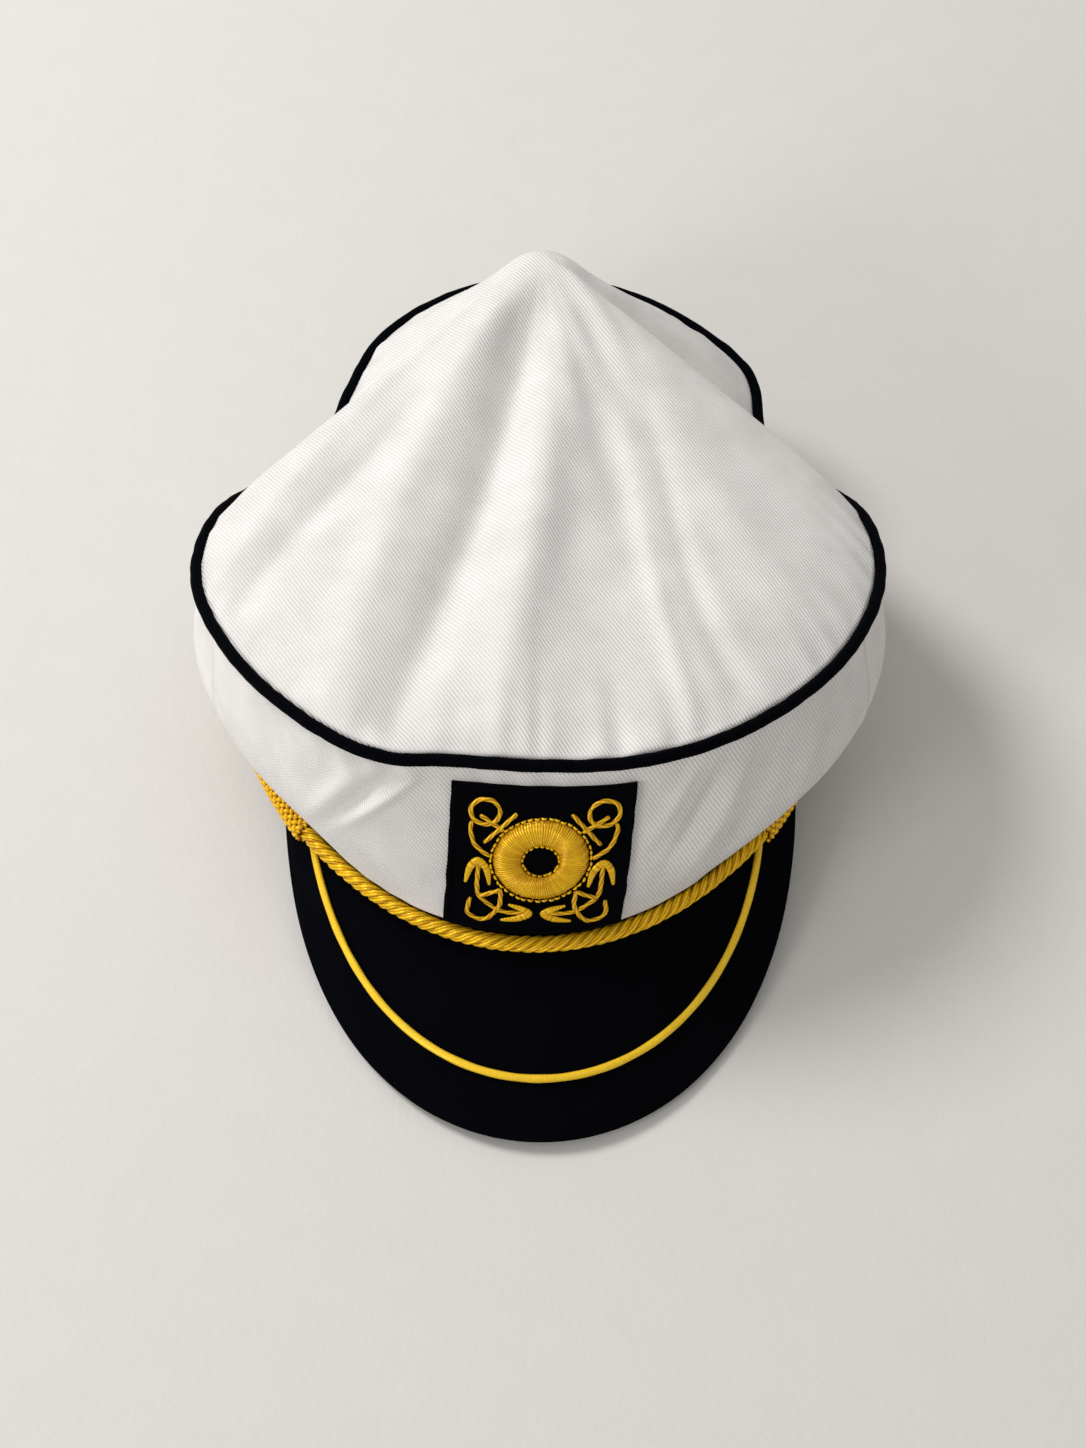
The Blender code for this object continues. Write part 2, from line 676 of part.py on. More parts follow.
def build_patch():
    """The badge's cloth, which follows the curve of the crown's front."""
    acrosses = spread(-PATCH_WIDTH / 2, PATCH_WIDTH / 2, PATCH_STEPS + 1)
    heights = spread(PATCH_HEIGHT / 2, -PATCH_HEIGHT / 2, PATCH_STEPS // 2 + 1)
    outside = [[patch_point(a, h, SEWN_GAP + PATCH_WALL) for a in acrosses] for h in heights]
    return add_object("badge_patch", sheet_mesh(outside, PATCH_WALL, False), "black cotton")


def badge_lift():
    """How far the back of the badge's stitching stands off the crown."""
    return PATCH_WALL + 2 * SEWN_GAP


def emblem_point(across, up, lift):
    """A point of the badge's stitching, from its distances across and up from the life ring's middle."""
    return patch_point(across + EMBLEM_ASIDE, up + EMBLEM_UP, lift)


def build_life_ring():
    """The padded life ring worked near the middle of the badge."""
    outer, inner = RING_DIAMETER / 2, RING_HOLE / 2
    profile = [(0.0, 0.0), (0.06, 0.55), (0.30, 0.92), (0.55, 1.0), (0.85, 0.75), (1.0, 0.30), (1.0, 0.0)]
    points = []
    for turn in turned(RING_STEPS):
        a = math.radians(turn)
        for place, rise in profile:
            reach = inner + (outer - inner) * place
            lift = badge_lift() + RING_HEIGHT * rise
            points.append(emblem_point(reach * math.sin(a), reach * math.cos(a), lift))
    return add_object("badge_life_ring", mesh_from(points, loop_faces(RING_STEPS, len(profile))), "gold thread")


def smooth_line(points, step):
    """Points about a step apart along a smooth curve through a few flat points."""
    guide = [2 * points[0] - points[1]] + points + [2 * points[-1] - points[-2]]
    line = []
    for p0, p1, p2, p3 in zip(guide, guide[1:], guide[2:], guide[3:]):
        count = max(round((p2 - p1).length / step), 1)
        turn1, turn2 = (p2 - p0) / 2, (p3 - p1) / 2
        for t in [i / count for i in range(count)]:
            start = p1 * (2 * t**3 - 3 * t**2 + 1) + turn1 * (t**3 - 2 * t**2 + t)
            line.append(start + p2 * (3 * t**2 - 2 * t**3) + turn2 * (t**3 - t**2))
    return line + [points[-1]]


def stroke_mesh(line, order, mirror, closed=False):
    """One worked line on the badge. Its order lifts it over the lines that it crosses."""
    lift = badge_lift() + STROKE_HEIGHT / 2 + CROSSING_LIFT * order
    path = [emblem_point(p.x * mirror, p.y, lift) for p in line]
    ups = [emblem_point(p.x * mirror, p.y, lift + 1) - q for p, q in zip(line, path)]
    outline = oval(STROKE_WIDTH * math.sqrt(2), STROKE_HEIGHT * math.sqrt(2), 4)
    return swept_mesh(path, ups, lambda i: outline, closed=closed)


def badge_strokes(table, mirror):
    """The worked lines of one part of an anchor."""
    meshes = []
    for order, places in enumerate(table.values()):
        points = [Vector((across * PATCH_WIDTH, up * PATCH_HEIGHT)) for across, up in places]
        meshes.append(stroke_mesh(smooth_line(points, STROKE_STEP), order + 1, mirror))
    return meshes


def build_anchor_head(name, mirror):
    """The ring, shank, stock and rope of an anchor."""
    middle = Vector((EYE["across"] * PATCH_WIDTH, EYE["up"] * PATCH_HEIGHT))
    reach = EYE["radius"] * PATCH_WIDTH
    eye = [middle + Vector((math.cos(a), math.sin(a))) * reach for a in map(math.radians, turned(12))]
    meshes = [stroke_mesh(eye, 0, mirror, closed=True)] + badge_strokes(HEAD_LINES, mirror)
    return add_object(name, fused(meshes), "gold thread")


def build_anchor_foot(name, mirror):
    """The arms, flukes, shank and rope of an anchor."""
    return add_object(name, fused(badge_strokes(FOOT_LINES, mirror)), "gold thread")


def stand_on_floor(items, lean, floor):
    """Hangs every piece from one empty, which leans the cap back and puts the origin under its middle."""
    stand = bpy.data.objects.new("cap", None)
    bpy.context.scene.collection.objects.link(stand)
    turn = leaned(lean)
    corners = [turn @ v.co for item in items for v in item.data.vertices]
    middle_x = (min(p.x for p in corners) + max(p.x for p in corners)) / 2
    middle_y = (min(p.y for p in corners) + max(p.y for p in corners)) / 2
    stand.matrix_world = Matrix.Translation((-middle_x, -middle_y, -floor)) @ turn.to_4x4()
    for item in items:
        item.parent = stand


def main():
    for item in list(bpy.data.objects):
        bpy.data.objects.remove(item)
    lean = rest_lean()
    floor = band_floor(lean)
    items = [
        build_top(),
        build_side("crown_front", -SEAM_ANGLE, SEAM_ANGLE),
        build_side("crown_back", SEAM_ANGLE, 360 - SEAM_ANGLE),
        build_piping(),
        build_band(lean, floor),
        build_visor(),
        build_trim(),
        build_cord(),
        build_patch(),
        build_life_ring(),
    ]
    for side, mirror in (("left", 1), ("right", -1)):
        items.append(build_slider("cord_slider_" + side, -SLIDER_ANGLE * mirror))
        items.append(build_button("cord_button_" + side, -BUTTON_ANGLE * mirror))
        items.append(build_anchor_head("anchor_head_" + side, mirror))
        items.append(build_anchor_foot("anchor_foot_" + side, mirror))
    stand_on_floor(items, lean, floor)


main()
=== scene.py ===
# %% [markdown]
# # A soft white yachting cap
# The solid model already gives every piece of the cap its place and size, but only with plain, faceted
# surfaces. This lesson makes what the eye sees round it: cloth with folds and a twill weave, a laid cord,
# plaited sliders and a hand-worked badge. The solid model is loaded first and never changed, so each new
# piece can be put exactly where its solid is.

# %% Load the solid model
import math

import bmesh
import bpy
import numpy as np
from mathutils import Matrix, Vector


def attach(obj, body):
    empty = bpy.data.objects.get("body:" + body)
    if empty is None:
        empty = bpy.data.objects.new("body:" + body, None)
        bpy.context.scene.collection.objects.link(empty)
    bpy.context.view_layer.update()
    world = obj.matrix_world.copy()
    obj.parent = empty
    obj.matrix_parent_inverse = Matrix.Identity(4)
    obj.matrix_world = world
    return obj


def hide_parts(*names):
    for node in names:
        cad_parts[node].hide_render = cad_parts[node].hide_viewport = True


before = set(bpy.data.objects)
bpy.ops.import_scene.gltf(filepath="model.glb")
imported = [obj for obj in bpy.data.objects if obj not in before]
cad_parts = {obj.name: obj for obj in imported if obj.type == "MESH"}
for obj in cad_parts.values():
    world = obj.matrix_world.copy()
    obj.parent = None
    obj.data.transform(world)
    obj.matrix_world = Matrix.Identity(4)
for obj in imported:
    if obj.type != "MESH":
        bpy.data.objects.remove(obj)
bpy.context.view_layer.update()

# %% [markdown]
# ## The cap's own sizes
# A cap maker works from a few measures: the head band, the crown's radius, the visor's reach. The same
# measures are written here once, in metres, and every shape below follows from them. The cap is drawn in
# its own frame, with the band's lower edge level and the front at -Y, and then leaned back as it rests.

# %% Sizes
LEAN = 9.011
STAND_AT = np.array([-0.00176, 0.00213, 0.01133])

BAND_WIDTH, BAND_FRONT, BAND_BACK, BAND_TAPER = 0.197, 0.106, 0.080, 1.30
BAND_WALL, BAND_TUCK, BAND_REVEAL = 0.0025, 0.010, 0.0010
CLOTH_WALL, CROWN_RADIUS, CROWN_SHIFT, CROWN_ASIDE = 0.0016, 0.118, 0.024, 0.003
FRONT_HEIGHT, PEAK_BACK, PEAK_HEIGHT, PEAK_ROUND = 0.075, 0.119, 0.1105, 0.014
TOP_ROLL, TOP_FOLD, FOLD_START, FOLD_END = 0.0035, 0.0042, 0.30, 0.06
SIDE_BULGE, SIDE_SAG, SEAM_ANGLE = 0.014, 1.40, 66.0
PIPING_DIAMETER = 0.0042
VISOR_WALL, VISOR_REACH, VISOR_TEMPLE, VISOR_TEMPLE_WIDTH = 0.0026, 0.0550, 0.0395, 0.0025
VISOR_ASIDE, VISOR_SLOPE, VISOR_ARCH, VISOR_ROOT, VISOR_CROWNING = 0.0022, 30.0, 0.034, 0.0016, 0.0012
TRIM_WIDTH, TRIM_HEIGHT, TRIM_INSET, TRIM_SIDE_INSET = 0.0030, 0.0020, 0.0205, 0.0275
CORD_DIAMETER, CORD_LAY, CORD_STRANDS = 0.0058, 0.0160, 4
SLIDER_DIAMETER, SLIDER_LENGTH, SLIDER_ANGLE = 0.0078, 0.034, 58.0
BUTTON_DIAMETER, BUTTON_DEPTH, BUTTON_ANGLE, FITTING_BLEND = 0.0120, 0.0065, 96.0, 12.0
PATCH_WIDTH, PATCH_HEIGHT, PATCH_WALL, PATCH_DROP = 0.0585, 0.058, 0.0012, 0.0045
PATCH_LEAN, PATCH_ASIDE, EMBLEM_UP, EMBLEM_ASIDE = 0.0015, -0.0002, 0.0021, 0.0010
RING_DIAMETER, RING_HOLE, RING_HEIGHT = 0.0312, 0.0124, 0.0022
STROKE_WIDTH, STROKE_HEIGHT, CROSSING_LIFT = 0.0015, 0.0011, 0.00012
SEWN_GAP, SEAM_FADE = 0.0003, 0.0012
UP = np.array([0.0, 0.0, 1.0])

# Angle from the front, reach on the left and right (of the crown's radius), height (of the front's)
EDGE_ROWS = [
    (0, 0.949, 0.949, 1.000), (14, 0.958, 0.965, 0.998), (26, 1.012, 0.977, 0.994),
    (45, 1.014, 0.990, 0.987), (60, 1.017, 0.998, 0.968), (77, 1.020, 0.992, 0.942),
    (93, 0.970, 0.950, 0.885), (110, 0.895, 0.885, 0.725), (127, 0.850, 0.860, 0.665),
    (139, 0.920, 0.995, 0.775), (150, 1.010, 1.025, 0.860), (165, 1.050, 1.045, 0.950),
    (180, 1.055, 1.055, 0.985),
]
# Angle, bulge of the side on the left and right, band that shows under the hem on the left and right
SIDE_ROWS = [
    (0, 0.10, 0.10, 1.00, 1.00), (30, 0.25, 0.40, 0.50, 0.20), (60, 0.70, 0.95, 0.20, 0.10),
    (95, 0.95, 1.05, 0.20, 0.20), (130, 1.00, 0.90, 0.60, 0.60), (180, 0.85, 0.85, 0.80, 0.80),
]
print("crown:", 2 * CROWN_RADIUS, "m across | visor:", VISOR_REACH, "m from the band")

# %% [markdown]
# ## Small tools for shapes
# Most pieces of a cap are sheets or tubes. A sheet is a grid of points; a tube is a ring of points carried
# along a path. Both could be made with Blender's curve tools, but then folds, plies and stitches couldn't
# be shaped point by point. Here numpy works on whole grids at once, which is short and quick.

# %% Numbers and curves
def unit(v):
    return v / np.linalg.norm(v, axis=-1, keepdims=True)


def ease(t):
    t = np.clip(t, 0.0, 1.0)
    return t * t * (3 - 2 * t)


def between(t, start, end, slope_start, slope_end):
    """A smooth curve from one value to another as t goes from 0 to 1, with a slope at each end."""
    rise = 3 * t**2 - 2 * t**3
    return start + (end - start) * rise + slope_start * (t**3 - 2 * t**2 + t) + slope_end * (t**3 - t**2)


def smooth_loop(rows, left, right):
    """A smooth curve of the angle through a table's left and right columns, the same after each full turn."""
    knots = [(-r[0], r[left]) for r in reversed(rows) if 0 < r[0] < 180] + [(r[0], r[right]) for r in rows]
    angles = np.array([a for a, _ in knots], float)
    angles = np.concatenate([angles - 360, angles, angles + 360])
    values = np.tile([v for _, v in knots], 3)
    slopes = np.zeros(len(values))
    slopes[1:-1] = (values[2:] - values[:-2]) / (angles[2:] - angles[:-2])

    def value(angle):
        angle = (np.asarray(angle, float) + 180) % 360 - 180
        i = np.clip(np.searchsorted(angles, angle, side="right") - 1, 1, len(angles) - 3)
        gap = angles[i + 1] - angles[i]
        t = (angle - angles[i]) / gap
        return between(t, values[i], values[i + 1], gap * slopes[i], gap * slopes[i + 1])

    return value


def wobble(x, seed, waves=5, low=1.0, high=4.0):
    """A smooth, uneven wave between about -1 and 1. Low and high are its fewest and most turns per unit."""
    random = np.random.default_rng(seed)
    total = 0.0
    for _ in range(waves):
        total = total + np.sin(2 * math.pi * (random.uniform(low, high) * x + random.random()))
    return total / math.sqrt(waves)


def distances(path):
    """How far each point is along a path, or down its column of a grid."""
    return np.cumsum(np.linalg.norm(np.diff(path, axis=0, prepend=path[:1]), axis=-1), axis=0)


def even(path, step):
    """The same path with its points a set step apart."""
    along = distances(path)
    places = np.linspace(0, along[-1], max(int(round(along[-1] / step)), 2) + 1)
    return np.stack([np.interp(places, along, path[:, k]) for k in range(3)], axis=-1)


trial = wobble(np.linspace(0, 9, 500), 1)
print("a wave of five parts stays within about", round(float(np.abs(trial).max()), 2))

# %% Grids and tubes
def grid_faces(rows, columns, wrap=False):
    """The four-sided faces of a grid. Wrap joins its last column to its first."""
    r = np.arange(rows - 1)[:, None] * columns
    c = np.arange(columns if wrap else columns - 1)[None, :]
    d = (c + 1) % columns
    return np.stack([r + c, r + d, r + columns + d, r + columns + c], axis=-1).reshape(-1, 4)


def loop_faces(rows, columns, wrap=False):
    """The faces of a grid whose last row also joins its first."""
    return grid_faces(rows + 1, columns, wrap) % (rows * columns)


def axes_along(path, ups):
    """Directions along, across and up at each point of a path."""
    along = unit(np.gradient(path, axis=0))
    across = unit(np.cross(along, ups))
    return along, across, np.cross(across, along)


def swept(path, across, up, outline):
    """Rings of corners along a path. The outline gives each corner's distance across and up."""
    return path[:, None] + across[:, None] * outline[..., :1] + up[:, None] * outline[..., 1:]


def full_turn(count):
    """Angles evenly spaced round a circle."""
    return 2 * math.pi * np.arange(count) / count


def spoke(across, up, turn):
    """Directions away from a path's middle, at a turn round it."""
    turn = np.asarray(turn)[..., None]
    return across * np.cos(turn) + up * np.sin(turn)


def fan_faces(first, count):
    """Faces that close a ring with an even number of corners."""
    return np.array([(first, first + k, first + k + 1, first + k + 2) for k in range(1, count - 2, 2)])


class Bag:
    """Collects many small shapes that become one mesh. Each point's value is painted shade, 0 on a crest and
    1 in a hollow, with some random tone.
    """

    def __init__(self):
        self.points, self.faces, self.groove, self.count = [], [], [], 0

    def add(self, points, faces, groove=0.0):
        points = np.asarray(points).reshape(-1, 3)
        self.points.append(points)
        self.faces.append(np.asarray(faces) + self.count)
        self.groove.append(np.broadcast_to(np.asarray(groove, float).reshape(-1), (len(points),)))
        self.count += len(points)

    def add_tube(self, path, ups, outline, groove=0.0):
        """A tube with closed ends. The outline gives, for each point of the path, corners across and up."""
        _, across, up = axes_along(path, ups)
        sides = outline.shape[1]
        last = (len(path) - 1) * sides
        faces = [grid_faces(len(path), sides, True), fan_faces(0, sides), fan_faces(last, sides)]
        self.add(swept(path, across, up, outline), np.concatenate(faces), groove)

    def make(self, name, material, node):
        """All the shapes as one finished piece of gold thread."""
        return make_piece(name, np.concatenate(self.points), np.concatenate(self.faces), material, [node],
                          "gold_thread", groove=np.concatenate(self.groove))


def circle(count, radius, sides):
    """A round outline of a set radius, or one radius per point, repeated along a path."""
    corners = np.stack([np.cos(full_turn(sides)), np.sin(full_turn(sides))], axis=-1)
    return np.broadcast_to(np.asarray(radius, float).reshape(-1, 1, 1), (count, 1, 1)) * corners[None]


print("a tube of 10 rings and 6 sides has", len(grid_faces(10, 6, True)) + 2 * len(fan_faces(0, 6)), "faces")

# %% [markdown]
# ## From points to pieces
# Every piece is finished in the same way. Its points are leaned back to where the cap rests, its faces are
# turned outwards, and the solid it stands for is hidden. Numbers that a material needs, such as the flat
# measure of the cloth or the depth between threads, are kept at the points, because they then stay with
# the piece wherever it goes. A sheet gets its thickness last, with one modifier.

# %% Finished pieces
INSIDE = np.array([0.0, 0.02, 0.03])  # a point in the hollow of the crown
LEAN_TURN = np.array([
    [1, 0, 0],
    [0, math.cos(math.radians(LEAN)), math.sin(math.radians(LEAN))],
    [0, -math.sin(math.radians(LEAN)), math.cos(math.radians(LEAN))],
])


def stood(points):
    """Points of the cap's own frame, where the cap stands."""
    return np.asarray(points) @ LEAN_TURN.T + STAND_AT


def make_piece(name, points, faces, material, nodes, slot, **layers):
    """One finished piece. Layers are numbers or vectors kept at its points for the material to read."""
    mesh = bpy.data.meshes.new(name)
    mesh.from_pydata(stood(points.reshape(-1, 3)).tolist(), [], faces.tolist())
    for layer, values in layers.items():
        values = np.asarray(values, float)
        kind = "FLOAT_VECTOR" if values.shape[-1:] == (3,) else "FLOAT"
        key = "vector" if kind == "FLOAT_VECTOR" else "value"
        mesh.attributes.new(layer, kind, "POINT").data.foreach_set(key, values.ravel())
    work = bmesh.new()
    work.from_mesh(mesh)
    bmesh.ops.recalc_face_normals(work, faces=work.faces)
    work.to_mesh(mesh)
    work.free()
    mesh.shade_smooth()
    mesh.materials.append(material)
    piece = bpy.data.objects.new(name, mesh)
    bpy.context.scene.collection.objects.link(piece)
    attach(piece, "root")
    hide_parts(*nodes)
    print(name, "|", len(mesh.polygons), "faces")
    return piece


def thicken(piece, wall):
    """Gives a sheet of cloth its thickness, inwards, after turning its faces away from the hollow."""
    work = bmesh.new()
    work.from_mesh(piece.data)
    middle = Vector(stood(INSIDE))
    if sum(f.normal.dot(f.calc_center_median() - middle) for f in work.faces) < 0:
        bmesh.ops.reverse_faces(work, faces=work.faces[:])
    work.to_mesh(piece.data)
    work.free()
    wall_tool = piece.modifiers.new("cloth wall", "SOLIDIFY")
    wall_tool.thickness, wall_tool.offset = wall, -1.0


def lifted(grid, offset, wrap=False):
    """A grid of points moved square to its surface by an offset at each point."""
    rows = np.gradient(grid, axis=0)
    if wrap:
        columns = (np.roll(grid, -1, axis=1) - np.roll(grid, 1, axis=1)) / 2
    else:
        columns = np.gradient(grid, axis=1)
    return grid + unit(np.cross(rows, columns)) * np.asarray(offset)[..., None]


def flat_cloth(x, y):
    """Where each point of a piece lies when its cloth is flat."""
    return np.stack(np.broadcast_arrays(x, y, 0.0), axis=-1)


print("lean of the resting cap:", LEAN, "degrees")

# %% [markdown]
# ## Where things lie on the cap
# The band is an egg-shaped ring. The crown's sewn edge is a wavy ring that stands higher than the band and
# has slipped back over it. The side hangs between the two, the visor starts under the cord, and the badge
# lies on the side. Each is a function of the angle from the front, so that neighbours always meet.

# %% Band, cord and hem
def band_point(angle, height, out=0.0):
    a = np.radians(angle)
    cos = np.abs(np.cos(a))
    y = np.where(np.cos(a) > 0, -(BAND_FRONT + out) * cos**BAND_TAPER, (BAND_BACK + out) * cos)
    x = (BAND_WIDTH / 2 + out) * np.sin(a)
    return np.stack(np.broadcast_arrays(x, y, height), axis=-1)


def along_band(start, length):
    angle = start
    for _ in range(40):
        ahead, behind = band_point(angle + 0.5, 0.0), band_point(angle - 0.5, 0.0)
        angle += length / 40 / float(np.linalg.norm(ahead - behind))
    return angle


VISOR_ROOT_TOP = VISOR_ROOT + VISOR_WALL / math.cos(math.radians(VISOR_SLOPE))
SLIDER_START = along_band(SLIDER_ANGLE, -SLIDER_LENGTH / 2)
BUTTON_START = along_band(BUTTON_ANGLE, -BUTTON_DIAMETER / 2)
BUTTON_END = along_band(BUTTON_ANGLE, BUTTON_DIAMETER / 2)


def share_between(angle, start, end):
    """1 from one angle off the front to another, on either side, easing to 0 beyond them."""
    away = np.abs((np.asarray(angle, float) + 180) % 360 - 180)
    return ease((away - start) / FITTING_BLEND + 1) * ease((end - away) / FITTING_BLEND + 1)


def cord_room(angle):
    share = share_between(angle, SLIDER_START, BUTTON_END)
    return (CORD_DIAMETER * (1 - share) + SLIDER_DIAMETER * share) / 2


def cord_point(angle):
    room = cord_room(angle) + SEWN_GAP
    return band_point(angle, VISOR_ROOT_TOP + room, room)


side_reveal = smooth_loop(SIDE_ROWS, 3, 4)


def hem_height(angle):
    button_share = share_between(angle, BUTTON_START, BUTTON_END)
    room = cord_room(angle) + button_share * (BUTTON_DIAMETER - SLIDER_DIAMETER) / 2
    return cord_point(angle)[..., 2] + room + SEWN_GAP + BAND_REVEAL * side_reveal(angle)


head_size = distances(band_point(np.arange(361), 0.0, -BAND_WALL))[-1]
print("head size, round the inside of the band:", round(float(head_size), 3), "m")
print("the slider and button lie between", round(SLIDER_START, 1), "and", round(BUTTON_END, 1), "degrees")

# %% Crown edge and side
edge_reach = smooth_loop(EDGE_ROWS, 1, 2)
edge_height = smooth_loop(EDGE_ROWS, 3, 3)
side_bulge = smooth_loop(SIDE_ROWS, 1, 2)


def edge_point(angle):
    a = np.radians(angle)
    reach = CROWN_RADIUS * edge_reach(angle)
    x, y = CROWN_ASIDE + reach * np.sin(a), CROWN_SHIFT - reach * np.cos(a)
    return np.stack([x, y, FRONT_HEIGHT * edge_height(angle)], axis=-1)


def edge_axes(angle):
    """Outward and upward directions, square to the piping."""
    along = unit(edge_point(np.asarray(angle) + 1.0) - edge_point(np.asarray(angle) - 1.0))
    out = unit(np.cross(along, UP))
    return out, unit(np.cross(out, along))


def side_point(angle, share):
    """A point on the outside of the side: share 0 is under the piping and 1 the hem."""
    angle, share = np.broadcast_arrays(np.asarray(angle, float), np.asarray(share, float))
    out, up = edge_axes(angle)
    edge = edge_point(angle)
    low = band_point(angle, hem_height(angle), SEWN_GAP + CLOTH_WALL)
    along = np.cross(out, up)
    fall = low - edge
    fall = unit(fall - along * np.sum(fall * along, -1, keepdims=True))
    face = unit(out - fall * np.sum(out * fall, -1, keepdims=True))
    high = edge + fall * (PIPING_DIAMETER / 2 + SEWN_GAP) + face * CLOTH_WALL / 2
    bulge = SIDE_BULGE * side_bulge(angle) * np.sin(math.pi * np.clip(share, 0, 1) ** SIDE_SAG)
    return high + (low - high) * share[..., None] + out * bulge[..., None]


def side_normal(angle, share):
    across = side_point(angle + 0.5, share) - side_point(angle - 0.5, share)
    down = side_point(angle, share + 0.01) - side_point(angle, share - 0.01)
    return unit(np.cross(down, across))


print("depth of the front panel:", np.round(np.linalg.norm(side_point(0, 0) - side_point(0, 1)), 4), "m")

# %% Visor and badge
TEMPLE_ANGLE = math.degrees(math.acos((VISOR_TEMPLE / BAND_FRONT) ** (1 / BAND_TAPER)))
TEMPLE = band_point(TEMPLE_ANGLE, 0.0, SEWN_GAP + VISOR_TEMPLE_WIDTH)


def visor_point(side, share, lift=0.0):
    """A point on the visor's upper face: side from -1 to 1, share 0 at the band and 1 at the free edge."""
    side, share = np.broadcast_arrays(np.asarray(side, float), np.asarray(share, float))

    def on_face(s, t):
        root = band_point(s * TEMPLE_ANGLE, VISOR_ROOT_TOP, SEWN_GAP)
        a = s * math.pi / 2
        y = TEMPLE[1] - (BAND_FRONT + VISOR_REACH + TEMPLE[1]) * np.cos(a)
        z = math.tan(math.radians(VISOR_SLOPE)) * (y + BAND_FRONT) - VISOR_ARCH * np.sin(a) ** 2
        free = np.stack([TEMPLE[0] * np.sin(a) + VISOR_ASIDE, y, z], axis=-1)
        point = root + (free - root) * t[..., None]
        point[..., 2] += VISOR_CROWNING * np.sin(math.pi * t) * np.cos(a)
        return point

    step = 0.01
    across = on_face(np.minimum(side + step, 1), share) - on_face(np.maximum(side - step, -1), share)
    down = on_face(side, share + step) - on_face(side, share - step)
    return on_face(side, share) + unit(np.cross(down, across)) * np.asarray(lift)[..., None]


def patch_point(across, up, lift=0.0):
    """A point on the badge, from distances across and up from its middle, a lift off the crown."""
    run = np.linalg.norm(side_point(0, 0) - side_point(0, 1))
    share = (PATCH_DROP + PATCH_HEIGHT / 2 - np.asarray(up, float)) / run
    degree = np.linalg.norm(side_point(1, share) - side_point(-1, share), axis=-1) / 2
    angle = (across + PATCH_ASIDE + PATCH_LEAN * up / PATCH_HEIGHT) / degree
    return side_point(angle, share) + side_normal(angle, share) * np.asarray(lift)[..., None]


def emblem_point(across, up, lift):
    """A point of the badge's stitching, from distances across and up from the life ring's middle."""
    return patch_point(across + EMBLEM_ASIDE, up + EMBLEM_UP, lift)


print("the visor spans", round(2 * TEMPLE_ANGLE), "degrees of the band")

# %% [markdown]
# ## The weave
# Cotton twill shows slanting ribs about a millimetre apart. The ribs could be an image, but a wave along
# the cloth's own flat measure is sharper and has no seams. Each cloth piece keeps that measure at its
# points, in a layer called "cloth". The white and the black cloth both use the weave, so it is one node
# group with its own sockets: rib spacing and slant go in, a height and a shade come out.

# %% A helper for node groups
def new_group(name, inputs, outputs):
    group = bpy.data.node_groups.new(name, "ShaderNodeTree")
    for label, kind, value in inputs:
        socket = group.interface.new_socket(label, in_out="INPUT", socket_type=kind)
        if value is not None:
            socket.default_value = value
    for label, kind in outputs:
        group.interface.new_socket(label, in_out="OUTPUT", socket_type=kind)
    return group, group.nodes.new("NodeGroupInput"), group.nodes.new("NodeGroupOutput")


def math_node(tree, operation, first, second=None):
    """A Math node. Each input is a number or the output of another node."""
    node = tree.nodes.new("ShaderNodeMath")
    node.operation = operation
    for socket, value in zip(node.inputs, (first, second)):
        if isinstance(value, bpy.types.NodeSocket):
            tree.links.new(value, socket)
        elif value is not None:
            socket.default_value = value
    return node.outputs[0]


def mix_colours(tree, share, first, second):
    """A colour between two, by a share from another node."""
    node = tree.nodes.new("ShaderNodeMix")
    node.data_type = "RGBA"
    tree.links.new(share, node.inputs["Factor"])
    for socket, value in ((node.inputs[6], first), (node.inputs[7], second)):
        if isinstance(value, bpy.types.NodeSocket):
            tree.links.new(value, socket)
        else:
            socket.default_value = (*value, 1)
    return node.outputs[2]


def noise(tree, vector, scale, detail=2.0):
    node = tree.nodes.new("ShaderNodeTexNoise")
    node.inputs["Scale"].default_value = scale
    node.inputs["Detail"].default_value = detail
    tree.links.new(vector, node.inputs["Vector"])
    return node.outputs["Fac"]


print("helpers ready:", new_group.__name__, math_node.__name__, mix_colours.__name__, noise.__name__)

# %% The twill group
WAVE_TURN = 2 * math.pi / 20  # Blender's band wave repeats after this length at a scale of 1


def twill_group():
    group, given, made = new_group(
        "twill weave",
        [("Cloth", "NodeSocketVector", None), ("Rib spacing", "NodeSocketFloat", 0.0015),
         ("Slant", "NodeSocketFloat", 0.5), ("Unevenness", "NodeSocketFloat", 0.5)],
        [("Height", "NodeSocketFloat"), ("Shade", "NodeSocketFloat")],
    )
    links = group.links
    turn = group.nodes.new("ShaderNodeVectorRotate")
    turn.rotation_type = "Z_AXIS"
    links.new(given.outputs["Cloth"], turn.inputs["Vector"])
    links.new(given.outputs["Slant"], turn.inputs["Angle"])
    waves = []
    for direction, share in (("X", 1.0), ("Y", 0.45)):
        wave = group.nodes.new("ShaderNodeTexWave")
        wave.wave_type, wave.bands_direction, wave.wave_profile = "BANDS", direction, "SIN"
        wave.inputs["Distortion"].default_value = 1.2
        wave.inputs["Detail"].default_value = 2.0
        wave.inputs["Detail Scale"].default_value = 0.6
        spacing = math_node(group, "MULTIPLY", given.outputs["Rib spacing"], share)
        links.new(math_node(group, "DIVIDE", WAVE_TURN, spacing), wave.inputs["Scale"])
        links.new(turn.outputs["Vector"], wave.inputs["Vector"])
        waves.append(wave.outputs["Fac"])
    threads = math_node(group, "MULTIPLY", waves[1], 0.35)
    links.new(math_node(group, "ADD", waves[0], threads), made.inputs["Height"])
    # Shade: painted shade that darkens the hollows of the ribs, plus random patches of tone
    patchy = math_node(group, "SUBTRACT", noise(group, given.outputs["Cloth"], 60.0, 3.0), 0.5)
    patchy = math_node(group, "MULTIPLY", patchy, given.outputs["Unevenness"])
    ribs = math_node(group, "MULTIPLY", waves[0], 0.6)
    links.new(math_node(group, "ADD", math_node(group, "ADD", ribs, patchy), 0.2), made.inputs["Shade"])
    return group


